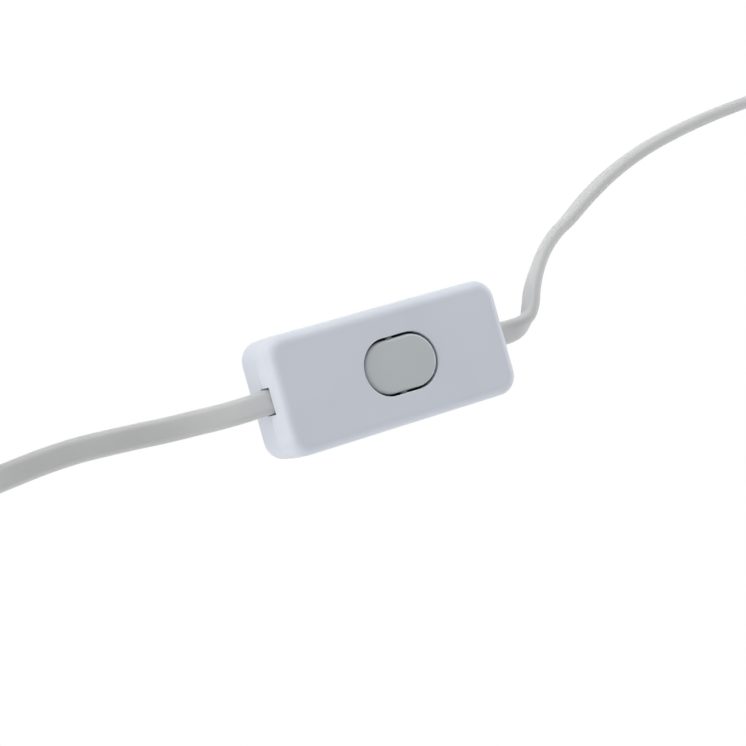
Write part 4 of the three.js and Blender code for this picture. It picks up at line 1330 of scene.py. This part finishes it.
# The table lies this far under the object, so that no two faces share a plane.
TABLE_DROP = 0.02 * MM


class SWITCH_OT_stage(bpy.types.Operator):
    """Set up the camera, the lamps and the white table"""

    bl_idname = "cord_switch.stage"
    bl_label = "Stage"

    def execute(self, context):
        scene, sizes = context.scene, context.scene.switch_stage
        data = bpy.data.cameras.new("Camera")
        data.lens, data.sensor_width = sizes.lens, 36
        data.clip_start, data.clip_end = 0.01, 20
        camera = bpy.data.objects.new("Camera", data)
        scene.collection.objects.link(camera)
        camera.matrix_world = self.camera_matrix(sizes)
        scene.camera = camera
        bm = bmesh.new()
        bmesh.ops.create_grid(bm, x_segments=1, y_segments=1, size=2.5)
        bmesh.ops.translate(bm, vec=(0, 0, -TABLE_DROP), verts=bm.verts)
        table = mesh_object("table", bm)
        table.data.materials.append(stage_material(sizes))
        white_world(horizon=2.3, zenith=0.3, top=0.6)
        lamp("left_window", place=(-0.9, 0.15, 0.3), size=(0.9, 0.4), power=2.4)
        lamp("far_window", place=(0.1, 0.9, 0.3), size=(0.9, 0.4), power=1.6)
        lamp("right_window", place=(0.9, 0.0, 0.25), size=(0.9, 0.4), power=1.7)
        scene.view_settings.view_transform = "Standard"
        return {"FINISHED"}

    def camera_matrix(self, sizes):
        az, el = sizes.azimuth, sizes.elevation
        back = Vector((-math.sin(az) * math.cos(el), math.sin(el), math.cos(az) * math.cos(el)))
        level = Vector((0, 1, 0)).cross(back).normalized()
        upright = back.cross(level)
        roll = sizes.roll
        right = level * math.cos(roll) + upright * math.sin(roll)
        up = back.cross(right)
        place = Vector((0, 0, sizes.aim_height)) + back * sizes.distance
        place -= right * -sizes.aim_right
        place -= up * -sizes.aim_up
        matrix = Matrix((right, up, back)).transposed().to_4x4()
        matrix.translation = place
        return matrix


# ---------------------------------------------------------------- panel


OPERATORS = (
    SWITCH_OT_stage,
    SWITCH_OT_cords,
    SWITCH_OT_front_cover,
    SWITCH_OT_rear_cover,
    SWITCH_OT_rocker,
    SWITCH_OT_ties,
    SWITCH_OT_plug,
    SWITCH_OT_lamp_end,
    SWITCH_OT_screws,
    SWITCH_OT_inner_parts,
    SWITCH_OT_cord_facts,
)


class SWITCH_PT_panel(bpy.types.Panel):
    """Lists the sizes and the makers of each piece"""

    bl_idname = "SWITCH_PT_panel"
    bl_label = "Cord Switch"
    bl_space_type = "VIEW_3D"
    bl_region_type = "UI"
    bl_category = "Cord Switch"

    def draw(self, context):
        for attribute, group in GROUPS.items():
            column = self.layout.column(align=True)
            column.label(text=attribute.replace("_", " ").title())
            for label in group.__annotations__:
                column.prop(getattr(context.scene, attribute), label)
        for operator in OPERATORS:
            self.layout.operator(operator.bl_idname)


def register():
    for attribute, group in GROUPS.items():
        bpy.utils.register_class(group)
        setattr(bpy.types.Scene, attribute, bpy.props.PointerProperty(type=group))
    for operator in OPERATORS:
        bpy.utils.register_class(operator)
    bpy.utils.register_class(SWITCH_PT_panel)


def unregister():
    bpy.utils.unregister_class(SWITCH_PT_panel)
    for operator in reversed(OPERATORS):
        bpy.utils.unregister_class(operator)
    for attribute, group in reversed(GROUPS.items()):
        delattr(bpy.types.Scene, attribute)
        bpy.utils.unregister_class(group)


def main():
    register()
    make_finishes(bpy.context.scene)
    for operator in OPERATORS:
        area, name = operator.bl_idname.split(".")
        getattr(getattr(bpy.ops, area), name)()


if __name__ == "__main__":
    main()
